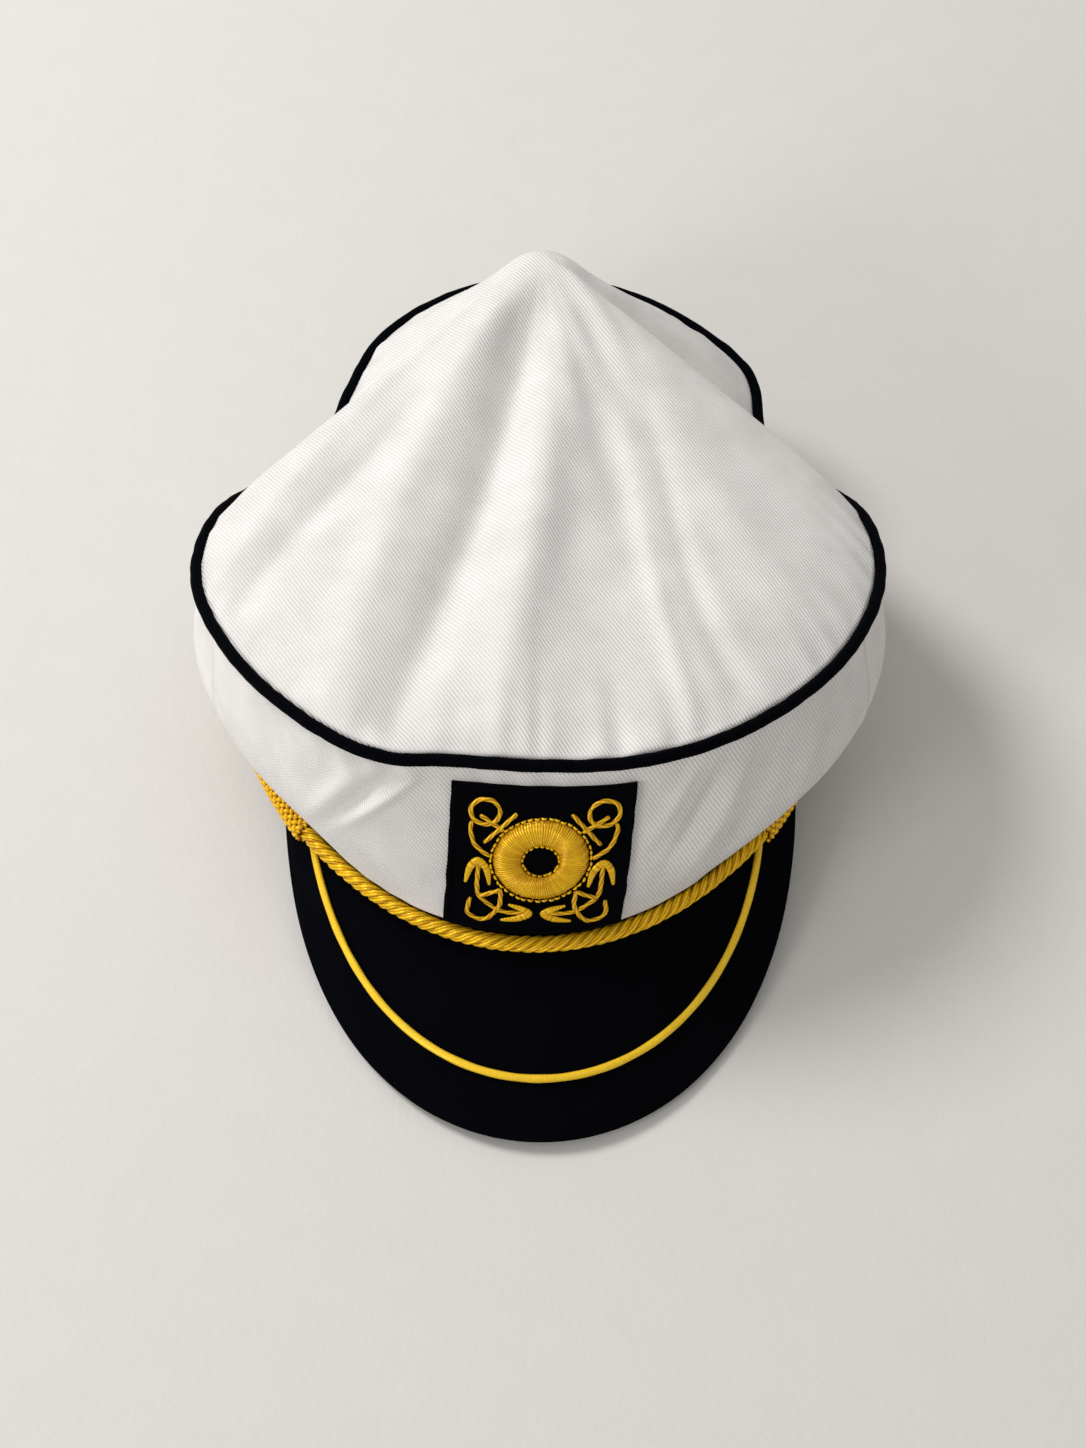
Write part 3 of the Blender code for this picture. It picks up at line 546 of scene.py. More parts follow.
TWILL = twill_group()
print("sockets of the weave:", [s.name for s in TWILL.interface.items_tree])

# %% Cloth materials
def new_material(name, roughness, sheen=0.0, metallic=0.0, shine=0.5):
    material = bpy.data.materials.new(name)
    material.use_nodes = True
    shader = material.node_tree.nodes["Principled BSDF"]
    shader.inputs["Roughness"].default_value = roughness
    shader.inputs["Metallic"].default_value = metallic
    shader.inputs["Sheen Weight"].default_value = sheen
    shader.inputs["Specular IOR Level"].default_value = shine
    shader.inputs["Sheen Roughness"].default_value = 0.5
    return material, material.node_tree, shader


def layer_of(tree, name, output):
    node = tree.nodes.new("ShaderNodeAttribute")
    node.attribute_name = name
    return node.outputs[output]


def add_bump(tree, shader, height, distance, strength=1.0):
    bump = tree.nodes.new("ShaderNodeBump")
    bump.inputs["Distance"].default_value = distance
    bump.inputs["Strength"].default_value = strength
    tree.links.new(height, bump.inputs["Height"])
    tree.links.new(bump.outputs["Normal"], shader.inputs["Normal"])


def cloth_material(name, crest, hollow, spacing, slant, bump, unevenness, roughness, sheen, shine):
    material, tree, shader = new_material(name, roughness, sheen, 0.0, shine)
    weave = tree.nodes.new("ShaderNodeGroup")
    weave.node_tree = TWILL
    tree.links.new(layer_of(tree, "cloth", "Vector"), weave.inputs["Cloth"])
    weave.inputs["Rib spacing"].default_value = spacing
    weave.inputs["Slant"].default_value = math.radians(slant)
    weave.inputs["Unevenness"].default_value = unevenness
    # Painted shade: the hollow colour darkens the hollows of the ribs
    colour = mix_colours(tree, weave.outputs["Shade"], hollow, crest)
    tree.links.new(colour, shader.inputs["Base Color"])
    add_bump(tree, shader, weave.outputs["Height"], bump)
    return material


WHITE_TWILL = cloth_material(
    "white twill", crest=(0.880, 0.858, 0.842), hollow=(0.660, 0.640, 0.622), spacing=0.00115, slant=-34,
    bump=0.00016, unevenness=1.0, roughness=0.9, sheen=0.1, shine=0.2)
BLACK_CLOTH = cloth_material(
    "black cloth", crest=(0.0014, 0.0018, 0.0036), hollow=(0.0004, 0.0005, 0.0011), spacing=0.00085, slant=45,
    bump=0.00012, unevenness=0.8, roughness=0.9, sheen=0.004, shine=0.03)
print("cloths:", WHITE_TWILL.name, "and", BLACK_CLOTH.name)

# %% [markdown]
# ## Gold thread
# Gold thread is bright yellow where it turns to the light and falls to a warm brown in the hollows between
# threads. Light gives part of that; the rest is painted shade, a darker colour in the hollows. Each gold
# piece therefore keeps how deep every point lies, with some random tone, in a layer called "groove",
# and one node group turns it into colour, so that the cord, the plait and the embroidery belong together.

# %% The gold group and its materials
def gold_group():
    group, given, made = new_group(
        "gold thread",
        [("Shade and tone", "NodeSocketFloat", 0.0), ("Crest colour", "NodeSocketColor", (0.9, 0.55, 0.05, 1)),
         ("Shaded colour", "NodeSocketColor", (0.3, 0.12, 0.01, 1)), ("Place", "NodeSocketVector", None)],
        [("Colour", "NodeSocketColor"), ("Height", "NodeSocketFloat")],
    )
    fine = noise(group, given.outputs["Place"], 900.0, 2.0)
    broad = noise(group, given.outputs["Place"], 70.0, 2.0)
    uneven = math_node(group, "MULTIPLY", math_node(group, "SUBTRACT", broad, 0.5), 0.45)
    grain = math_node(group, "MULTIPLY", math_node(group, "SUBTRACT", fine, 0.5), 0.5)
    # The mix: painted shade from the piece's layer, plus two noises of random tone
    depth = math_node(group, "ADD", given.outputs["Shade and tone"], uneven)
    depth = math_node(group, "ADD", depth, grain)
    clamp = group.nodes.new("ShaderNodeClamp")
    group.links.new(depth, clamp.inputs["Value"])
    crest, hollow = given.outputs["Crest colour"], given.outputs["Shaded colour"]
    group.links.new(mix_colours(group, clamp.outputs["Result"], crest, hollow), made.inputs["Colour"])
    group.links.new(fine, made.inputs["Height"])
    return group


GOLD = gold_group()


def gold_material(name, crest, hollow, roughness, metallic, bump):
    material, tree, shader = new_material(name, roughness, 0.0, metallic, 0.3)
    thread = tree.nodes.new("ShaderNodeGroup")
    thread.node_tree = GOLD
    place = tree.nodes.new("ShaderNodeTexCoord").outputs["Object"]
    tree.links.new(place, thread.inputs["Place"])
    tree.links.new(layer_of(tree, "groove", "Fac"), thread.inputs["Shade and tone"])
    # The hollow colour is the colour of the painted shade in the thread's hollows
    thread.inputs["Crest colour"].default_value = (*crest, 1)
    thread.inputs["Shaded colour"].default_value = (*hollow, 1)
    tree.links.new(thread.outputs["Colour"], shader.inputs["Base Color"])
    add_bump(tree, shader, thread.outputs["Height"], bump)
    return material


GOLD_CORD = gold_material("gold cord", (1.0, 0.61, 0.010), (0.24, 0.052, 0.001),
                          roughness=0.30, metallic=0.30, bump=0.00008)
GOLD_PLAIT = gold_material("gold plait", (1.0, 0.58, 0.010), (0.18, 0.038, 0.001),
                           roughness=0.32, metallic=0.28, bump=0.00008)
GOLD_SATIN = gold_material("gold satin stitch", (1.0, 0.63, 0.010), (0.42, 0.110, 0.002),
                           roughness=0.30, metallic=0.28, bump=0.00005)
GOLD_LINE = gold_material("gold line", (1.0, 0.66, 0.028), (0.55, 0.24, 0.006),
                          roughness=0.36, metallic=0.15, bump=0.00004)
print("gold finishes:", [m.name for m in (GOLD_CORD, GOLD_PLAIT, GOLD_SATIN, GOLD_LINE)])

# %% [markdown]
# ## The crown's top
# The top is one round piece of twill. It lies slack, and its cloth has been pulled up to a soft point
# behind the middle, so ridges and valleys run down from there to the piping. A cloth simulation would find
# folds of its own, but not these, so the folds are listed: each is a smooth rise or hollow across
# the angle, that swings a little on its way down. Short gathers along the seam come from the stitching.

# %% Shape of the top
# Angles a third and two thirds of the way down and at the seam, width there (of the crown's radius), and rise
# at the same three places (of the fold's height, hollows negative)
TOP_FOLDS = [
    (-150, -150, -150, 0.20, -0.60, -0.80, -0.20), (-112, -108, -104, 0.20, 0.30, 0.30, 0.10),
    (-86, -79, -73, 0.10, 0.10, 0.60, 0.20), (-56, -64, -63, 0.09, -0.10, -0.85, -0.25),
    (-52, -42, -36, 0.15, 1.00, 0.85, 0.35), (-18, -22, -26, 0.125, -1.80, -1.70, -0.90),
    (7, -4, -8, 0.15, 0.65, 1.10, 0.50), (32, 19, 15, 0.22, -0.50, -0.80, -0.50),
    (40, 28, 27, 0.06, 0.00, 0.32, 0.24), (56, 37, 37, 0.07, 0.00, -0.40, -0.30),
    (66, 54, 52, 0.15, 0.05, 0.25, 0.15), (100, 98, 96, 0.16, 0.30, 0.30, 0.10),
    (150, 150, 150, 0.20, -0.60, -0.80, -0.20),
]
CROWN_TIP = np.array([CROWN_ASIDE, PEAK_BACK, PEAK_HEIGHT])


def through_thirds(share, third, two_thirds, seam):
    """A smooth curve through values at one third, two thirds and three thirds."""
    t = 3 * share
    return third * (t - 2) * (t - 3) / 2 - two_thirds * (t - 1) * (t - 3) + seam * (t - 1) * (t - 2) / 2


def top_point(angle, share):
    angle, share = np.broadcast_arrays(np.asarray(angle, float), np.asarray(share, float))
    out, up = edge_axes(angle)
    sewn = edge_point(angle) - out * (PIPING_DIAMETER / 2 - SEWN_GAP) + up * CLOTH_WALL / 2
    flat = CROWN_TIP + (sewn - CROWN_TIP) * share[..., None]
    run = np.linalg.norm((sewn - CROWN_TIP)[..., :2], axis=-1)
    blunt = PEAK_ROUND / run
    fall = (np.hypot(share, blunt) - blunt) / (np.hypot(1, blunt) - blunt)
    size = np.minimum(run / (2 * CROWN_RADIUS), 1)
    roll = TOP_ROLL * size**0.5 * np.sin(math.pi * share**4)
    fold = 0.0
    for upper, middle, lower, width, *rises in TOP_FOLDS:
        away = (angle - through_thirds(share, upper, middle, lower) + 180) % 360 - 180
        away = np.radians(away) * run * share / (CROWN_RADIUS * width)
        rise = through_thirds(share, *rises) * ease(share / FOLD_START)
        fold = fold + TOP_FOLD * rise * np.exp(-(away**2))
    fold = fold * ease((1 - share) / FOLD_END)
    point = flat.copy()
    point[..., 2] = CROWN_TIP[2] + (sewn[..., 2] - CROWN_TIP[2]) * fall + roll + fold
    return point


def gathers(angle, from_seam, seed, reach=0.0085):
    """Short puckers that the seam draws into the cloth, fading with the distance from it."""
    wave = wobble(np.asarray(angle) / 360, seed, 9, 30, 75)
    patches = 0.55 + 0.45 * wobble(np.asarray(angle) / 360, seed + 1, 4, 3, 9)
    return wave * np.clip(patches, 0, 1.2) * np.exp(-((from_seam / reach) ** 1.3))


TOP_COLUMNS, TOP_LINES, TOP_SLACK = 360, 110, 0.00035
TOP_GATHERS = [(0.00095, 11, 0.017), (0.00030, 13, 0.006)]  # height, seed, reach from the seam
top_angles = np.arange(TOP_COLUMNS) * 360 / TOP_COLUMNS
top_shares = (np.arange(1, TOP_LINES + 1) / TOP_LINES)[:, None]
top = top_point(top_angles, top_shares)
seam_gap = np.linalg.norm(top - top[-1:], axis=-1)
run_down = distances(np.concatenate([0 * top[:1] + CROWN_TIP, top]))[1:]
swell = sum(height * gathers(top_angles, seam_gap, seed, reach) for height, seed, reach in TOP_GATHERS)
swell = swell + TOP_SLACK * wobble(top_angles / 360, 21, 5, 8, 22) * ease(top_shares * 1.5)
top = lifted(top, -swell * ease(seam_gap / SEAM_FADE), wrap=True)
shortest, longest = (round(float(run), 3) for run in (run_down[-1].min(), run_down[-1].max()))
print("the top runs", shortest, "to", longest, "m from its point to the seam")

# %% The top as a piece
heading = np.arctan2(top[-1, :, 0] - CROWN_TIP[0], -(top[-1, :, 1] - CROWN_TIP[1]))
top_cloth = flat_cloth(run_down * np.sin(heading), -run_down * np.cos(heading))
top_cloth = np.concatenate([top_cloth.reshape(-1, 3), np.zeros((1, 3))])
top_points = np.concatenate([top.reshape(-1, 3), CROWN_TIP[None]])
columns = np.arange(0, TOP_COLUMNS, 2)
tip_corner = np.full(len(columns), len(top_points) - 1)
tip_faces = np.stack([tip_corner, (columns + 2) % TOP_COLUMNS, columns + 1, columns], axis=-1)
top_faces = np.concatenate([grid_faces(TOP_LINES, TOP_COLUMNS, True), tip_faces])
crown_top = make_piece("crown_top_cloth", top_points, top_faces, WHITE_TWILL, ["crown_top"],
                       "white_cotton", cloth=top_cloth)
thicken(crown_top, CLOTH_WALL * 0.8)

# %% [markdown]
# ## The crown's side
# The side is two panels joined at upright seams, one to the front and one round the back. It hangs from the
# piping, swells a little and turns in to the band at its hem. The soft dents beside the badge are where
# the cloth has been pressed, and the fine gathers under the piping come from the same seam as the top's.

# %% Shape of the side
# Angle, share down the side, spread in degrees, spread in share, lean in degrees per share, depth in metres
SIDE_DENTS = [
    (-34, 0.30, 2.2, 0.28, -22, -0.0018), (-29, 0.24, 1.4, 0.26, -26, 0.0026),
    (-25, 0.22, 1.4, 0.24, -28, -0.0026), (23, 0.20, 1.7, 0.24, -16, -0.0018),
    (27, 0.34, 1.8, 0.28, -14, 0.0016), (32, 0.36, 2.2, 0.30, -12, -0.0017),
    (38, 0.38, 2.4, 0.30, -12, 0.0013), (-48, 0.40, 4.0, 0.35, 8, 0.0008),
    (48, 0.45, 3.0, 0.35, -10, -0.0009), (-100, 0.45, 8.0, 0.40, 10, -0.0014),
    (-125, 0.5, 9.0, 0.4, 8, 0.0012), (105, 0.45, 8.0, 0.40, -10, -0.0014),
    (128, 0.5, 9.0, 0.4, -8, 0.0012), (155, 0.5, 8.0, 0.5, 0, -0.0010), (-160, 0.5, 8.0, 0.5, 0, -0.0010),
]
SIDE_TUCK, SMOOTHING_PASSES = -0.012, 10
PIPING_GATHERS, HEM_GATHERS, SEAM_DIP = 0.0007, 0.0002, 0.0003


def side_panel(name, start, end, columns, lines, node, seed):
    angles = np.linspace(along_band(start, SEWN_GAP / 4), along_band(end, -SEWN_GAP / 4), columns)
    shares = np.linspace(SIDE_TUCK, 1, lines)[:, None]
    panel = side_point(angles, shares)
    for _ in range(SMOOTHING_PASSES):
        panel[:, 1:-1] = panel[:, 1:-1] / 2 + (panel[:, :-2] + panel[:, 2:]) / 4
    down, across = distances(panel), distances(panel[lines // 2])
    dents = 0.0
    for angle, share, wide, tall, lean, depth in SIDE_DENTS:
        away = (angles - angle - lean * (shares - share) + 180) % 360 - 180
        dents = dents + depth * np.exp(-((away / wide) ** 2) - ((shares - share) / tall) ** 2)
    relief = dents * np.sin(math.pi * np.clip(shares, 0, 1)) ** 0.5
    relief = relief + PIPING_GATHERS * gathers(angles, down, seed)
    relief = relief + HEM_GATHERS * gathers(angles, down[-1:] - down, seed + 5)
    relief = relief - SEAM_DIP * sum(np.exp(-((angles - a) / 0.5) ** 2) for a in (start, end))
    panel = lifted(panel, -relief * ease(down / SEAM_FADE))
    piece = make_piece(name, panel, grid_faces(lines, columns), WHITE_TWILL, [node], "white_cotton",
                       cloth=flat_cloth(across, -down))
    thicken(piece, CLOTH_WALL * 0.85)


side_panel("crown_front_cloth", -SEAM_ANGLE, SEAM_ANGLE, 300, 90, "crown_front", 31)
side_panel("crown_back_cloth", SEAM_ANGLE, 360 - SEAM_ANGLE, 380, 80, "crown_back", 41)

# %% [markdown]
# ## The piping
# Piping is a cord wrapped in a strip of black cloth and caught in the seam. A curve with a bevel would be
# too even: the needle pulls it in a little at each stitch. So here the ring wavers by a fraction of a
# millimetre, and swells and thins a little on its way round.

# %% Make the piping
def ring_tube(path, ups, outline):
    """A tube that closes on itself."""
    along = unit(np.roll(path, -1, axis=0) - np.roll(path, 1, axis=0))
    across = unit(np.cross(along, ups))
    return swept(path, across, np.cross(across, along), outline), loop_faces(*outline.shape[:2], True)


PIPING_STEPS, PIPING_SIDES = 900, 16
WAVER_OUT, WAVER_UP, WAVER_FULL = 0.00008, 0.00006, 0.016
piping_angles = np.arange(PIPING_STEPS) * 360 / PIPING_STEPS
piping_out, piping_up = edge_axes(piping_angles)
waver_out = WAVER_OUT * wobble(piping_angles / 360, 51, 7, 30, 80)
waver_up = WAVER_UP * wobble(piping_angles / 360, 52, 7, 30, 80)
fullness = 1 + WAVER_FULL * wobble(piping_angles / 360, 53, 8, 60, 160)
piping_path = edge_point(piping_angles) + piping_out * waver_out[:, None] + piping_up * waver_up[:, None]
piping_outline = circle(PIPING_STEPS, PIPING_DIAMETER / 2 * fullness, PIPING_SIDES)
piping_points, piping_faces = ring_tube(piping_path, piping_up, piping_outline)
wrap_measure = np.arange(PIPING_SIDES) / PIPING_SIDES * math.pi * PIPING_DIAMETER
make_piece("crown_piping_cloth", piping_points, piping_faces, BLACK_CLOTH, ["crown_piping"], "black_cotton",
           cloth=flat_cloth(distances(piping_path)[:, None], wrap_measure))

# %% [markdown]
# ## The head band
# The band is a stiff strip of black cloth. Only a thin line of it shows over the cord, and its lower edge
# shows from the side and the back. It is one closed outline carried round the head: its lower edge is a
# rounded fold, pressed flat where it stands on the table at the back, and its upper edge is tucked away
# behind the crown's side.

# %% Make the band
BAND_COLUMNS, TABLE_GAP = 360, 0.00005


def band_outline(angle):
    """The band's section: distances out from its face, and heights."""
    knee = hem_height(angle) - 2 * SEWN_GAP
    depth = np.linalg.norm(side_point(angle, 0) - side_point(angle, 1))
    share = 1 - BAND_TUCK / depth
    behind = side_point(angle, share) - side_normal(angle, share) * (CLOTH_WALL + 2 * SEWN_GAP)
    face = band_point(angle, behind[2])
    tuck = min(float(np.dot(behind[:2] - face[:2], unit(face[:2]))), 0.0)
    r = BAND_WALL / 2
    fold = [(-r + r * math.cos(t), r + r * math.sin(t)) for t in np.radians(range(0, -181, -30))]
    rise = [(0.0, float(h)) for h in np.linspace(r, knee, 8)[1:]] + [(tuck, float(behind[2]))]
    inner = [(x - BAND_WALL, z) for x, z in reversed(rise)]
    return rise + inner + fold[::-1][:-1]


band_angles = np.arange(BAND_COLUMNS) * 360 / BAND_COLUMNS
band_points = np.array([[band_point(a, z, x) for x, z in band_outline(a)] for a in band_angles])
world = stood(band_points)
world[..., 2] = np.maximum(world[..., 2], TABLE_GAP)
band_points = (world - STAND_AT) @ LEAN_TURN
band_run = distances(band_points[:, 0])[:, None]
make_piece("head_band_cloth", band_points, loop_faces(*band_points.shape[:2], True), BLACK_CLOTH,
           ["head_band"], "black_cotton", cloth=flat_cloth(band_run, band_points[..., 2]))

# %% [markdown]
# ## The visor
# The visor is a stiff board covered with black cloth on both faces. The cloth turns over its free edge,
# so the edge is round and not cut. A grid runs over the upper face, round the edge and back underneath,
# and a faint unevenness of the padding keeps the highlights from looking like moulded plastic.

# %% Make the visor
VISOR_COLUMNS, VISOR_LINES, VISOR_EDGE, VISOR_SLACK = 220, 44, 12, 0.00012
visor_sides = np.linspace(-1, 1, VISOR_COLUMNS)
visor_sides = (np.sin(visor_sides * math.pi / 2) + visor_sides) / 2
visor_shares = np.linspace(0, 1, VISOR_LINES)[:, None]
depth = np.linalg.norm(visor_point(visor_sides, 1) - visor_point(visor_sides, 0), axis=-1)
turn_share = 1 - np.minimum(VISOR_WALL / 2 / depth, 0.45)
slack = VISOR_SLACK * wobble(visor_sides, 61, 6, 2, 6) * wobble(visor_shares, 62, 4, 1, 3)
upper = lifted(visor_point(visor_sides, turn_share * visor_shares), -slack * ease(4 * visor_shares))
upper_normal = unit(visor_point(visor_sides, turn_share, 1.0) - visor_point(visor_sides, turn_share))
outward = unit(visor_point(visor_sides, 1) - visor_point(visor_sides, 0))
bend_turn = np.linspace(0, math.pi, VISOR_EDGE + 1)[1:, None, None]
bend = upper[-1] + VISOR_WALL / 2 * (outward * np.sin(bend_turn) + upper_normal * (np.cos(bend_turn) - 1))
visor_grid = np.concatenate([upper, bend, upper[-2::-1] - upper_normal * VISOR_WALL])
visor_count = len(visor_grid)
ends = []
for column in (0, VISOR_COLUMNS - 1):
    for k in range((visor_count - 1) // 2):
        opposite = visor_count - 1 - k
        corners = [row * VISOR_COLUMNS + column for row in (k, k + 1, opposite - 1, opposite)]
        if len(set(corners)) == 4:
            ends.append(corners)
visor_faces = np.concatenate([loop_faces(visor_count, VISOR_COLUMNS), np.array(ends)])
make_piece("visor_cloth", visor_grid, visor_faces, BLACK_CLOTH, ["visor"], "black_cotton",
           cloth=flat_cloth(visor_grid[..., 0], distances(visor_grid)))

# %% [markdown]
# ## The gold line on the visor
# A narrow line of gold gimp follows the visor's edge. It is a padded cord closely wrapped with flat thread,
# so it looks smooth from afar. Its ends slip under the big cord. The wrapping is a fine ripple in the
# mesh, slanted a little, and the colour follows that ripple.

# %% Make the gold line
def trim_share(side):
    reach = np.linalg.norm(visor_point(side, 1) - visor_point(side, 0), axis=-1)
    return 1 - (TRIM_INSET + (TRIM_SIDE_INSET - TRIM_INSET) * side * side) / reach


LINE_SIDES, LINE_STEP, WRAP_PITCH, LINE_FULLNESS, LINE_TUCK = 14, 0.0004, 0.0009, 0.92, 0.0006
trial = np.linspace(-1, 1, 801)
trial = trial[trim_share(trial) > 0]
line_middle = visor_point(trial, trim_share(trial), SEWN_GAP / 2 + TRIM_HEIGHT / 2)
cord_angles = np.linspace(-100, 100, 400)
away = np.linalg.norm(line_middle[:, None] - cord_point(cord_angles)[None], axis=-1) - cord_room(cord_angles)
clear = away.min(axis=1) > TRIM_WIDTH / 2 - LINE_TUCK
line_path = even(line_middle[clear], LINE_STEP)
line_sides = np.interp(np.linspace(0, 1, len(line_path)), np.linspace(0, 1, clear.sum()), trial[clear])
line_foot = visor_point(line_sides, trim_share(line_sides))
line_up = visor_point(line_sides, trim_share(line_sides), 1.0) - line_foot
along = distances(line_path)
ripple = 0.5 + 0.5 * np.cos(2 * math.pi * along[:, None] / WRAP_PITCH + full_turn(LINE_SIDES))
size = (0.965 + 0.035 * ripple) * (1 + 0.03 * wobble(along, 71, 6, 30, 90))[:, None]
outline = circle(len(line_path), 1.0, LINE_SIDES) * [LINE_FULLNESS * TRIM_WIDTH / 2, TRIM_HEIGHT / 2]
line_bag = Bag()
# Painted shade in the hollows between the wraps
line_bag.add_tube(line_path, line_up, outline * size[..., None], 0.35 - 0.35 * ripple)
line_bag.make("visor_gold_line", GOLD_LINE, "visor_trim")
print("the gold line is", round(float(along[-1]), 3), "m long, ending at", np.round(trial[clear][[0, -1]], 2))

# %% [markdown]
# ## The gold cord
# The cord is laid like rope: yarns make a strand, and the strands wind round each other. A picture of
# stripes on a tube would look flat at the edges, so every yarn is a real tube. One function lays lines
# round a path, and is used twice: first for the strands round the cord's middle, then for the yarns
# round each strand. Each point's depth under the crests is kept for the colour.

# %% Lay the cord
def laid(path, ups, radius, lay, count):
    """Middle lines of strands wound round a path, each with its outward directions."""
    _, across, up = axes_along(path, ups)
    turn = 2 * math.pi * distances(path) / lay
    spokes = [spoke(across, up, turn + 2 * math.pi * k / count) for k in range(count)]
    return [(path + outward * radius, outward) for outward in spokes]


def strand_size(radius, count, fullness):
    """The radius of strands that fill a cord side by side, made fuller because they press together."""
    return radius / (1 + 1 / math.sin(math.pi / count)) * fullness


def depth_below(points, path, reach, fade):
    """0 at the cord's outer reach and 1 deep between its strands, for rings of points along the path; used as
    painted shade.
    """
    away = np.linalg.norm(points.reshape(len(path), -1, 3) - path[:, None], axis=-1)
    return np.clip((reach - away) / fade, 0, 1)


CORD_STEP, YARNS, YARN_LAY, CORD_SHADE_FADE = 0.0006, 5, -0.034, 0.0014
cord_end = along_band(BUTTON_ANGLE, -BUTTON_DIAMETER / 2 - SEWN_GAP)
cord_path = even(cord_point(np.linspace(-cord_end, cord_end, 900)), CORD_STEP)
strand_radius = strand_size(CORD_DIAMETER / 2, CORD_STRANDS, 1.13)
yarn_radius = strand_size(strand_radius, YARNS, 1.12)
yarn_outline = circle(len(cord_path), yarn_radius, 6)
cord_bag = Bag()
for strand_path, strand_out in laid(cord_path, UP, CORD_DIAMETER / 2 - strand_radius, CORD_LAY, CORD_STRANDS):
    for yarn_path, yarn_out in laid(strand_path, strand_out, strand_radius - yarn_radius, YARN_LAY, YARNS):
        _, across, up = axes_along(yarn_path, yarn_out)
        points = swept(yarn_path, across, up, yarn_outline)
        # Painted shade: the deeper a point lies between the strands, the darker its colour
        groove = depth_below(points, cord_path, CORD_DIAMETER / 2, CORD_SHADE_FADE)
        cord_bag.add_tube(yarn_path, yarn_out, yarn_outline, groove)
cord_bag.make("gold_cord_strands", GOLD_CORD, "gold_cord")
print("cord length:", round(float(distances(cord_path)[-1]), 3), "m of", CORD_STRANDS, "strands")

# %% [markdown]
# ## The plaited sliders
# Near each end the cord passes through a slider of fine plaited thread. In a plait, threads run both ways
# round a tube and pass over and under each other in turn. On a tube that needs no knotting by hand: the
# threads' distance from the middle swings with the same beat as their crossings, with opposite signs
# for the two ways round. A plain core underneath stops anyone from seeing through the gaps.

# %% Plait the sliders
PLAIT_THREADS, PLAIT_LAY, PLAIT_RADIUS, PLAIT_STEP, PLAIT_DEPTH = 7, 0.0200, 0.00074, 0.00022, 0.72
MOUTH = CORD_DIAMETER / 2 + 0.0007
COLLAR_RADIUS, COLLAR_LIFT, COLLAR_GAP = 0.00042, 0.0002, 0.018  # the gap is a share of the length


def slider_reach(share):
    """The slider's radius along its length, drawn in at both ends."""
    full = SLIDER_DIAMETER / 2 - PLAIT_RADIUS
    return MOUTH + (full - MOUTH) * np.clip(np.sin(math.pi * share), 0, 1) ** 0.3


def build_slider(name, node, mirror):
    ends = [along_band(SLIDER_ANGLE, way * SLIDER_LENGTH / 2) * mirror for way in (-1, 1)]
    path = even(cord_point(np.linspace(min(ends), max(ends), 200)), PLAIT_STEP)
    _, across, up = axes_along(path, UP)
    length = distances(path)
    reach = slider_reach(length / length[-1])
    twist = 2 * math.pi * length / PLAIT_LAY
    bag = Bag()
    # The core takes the full shaded colour: painted shade seen through the gaps of the plait
    bag.add_tube(path, UP, circle(len(path), reach - PLAIT_RADIUS * 0.6, 16), 1.0)
    for way in (1, -1):
        beat = way * np.cos(PLAIT_THREADS * twist)
        for k in range(PLAIT_THREADS):
            outward = spoke(across, up, way * twist + 2 * math.pi * k / PLAIT_THREADS)
            thread = path + outward * (reach + PLAIT_RADIUS * PLAIT_DEPTH * beat)[:, None]
            # Painted shade where a thread dips under the crossing threads
            dip_shade = np.clip(0.55 - 0.6 * beat, 0, 1)
            bag.add_tube(thread, outward, circle(len(path), PLAIT_RADIUS, 8), np.repeat(dip_shade, 8))
    for middle in (0.03, 0.97):
        for step in (-COLLAR_GAP, 0, COLLAR_GAP):
            i = int(round((middle + step) * (len(path) - 1)))
            outward = spoke(across[i], up[i], np.linspace(0, 2 * math.pi, 49))
            collar = path[i] + outward * (reach[i] + COLLAR_LIFT)
            # The collars get a fixed, darker colour
            bag.add_tube(collar, np.cross(across[i], up[i]), circle(49, COLLAR_RADIUS, 6), 0.62)
    bag.make(name, GOLD_PLAIT, node)


build_slider("slider_plait_left", "cord_slider_left", -1)
build_slider("slider_plait_right", "cord_slider_right", 1)

# %% [markdown]
# ## The cord's buttons
# Each end of the cord is held by a small domed button on the band, just behind the slider. It is wound with
# the same thread, so its dome is ribbed like a ball of yarn: a shallow spiral ripple on a turned profile.

# %% Make the buttons
BUTTON_SIDES, BUTTON_LINES, BUTTON_RIBS, BUTTON_ROUND = 72, 26, 18, 0.72
BUTTON_RIM, BUTTON_EDGE = 0.3, 0.4  # the straight rim's share of the profile and of the height


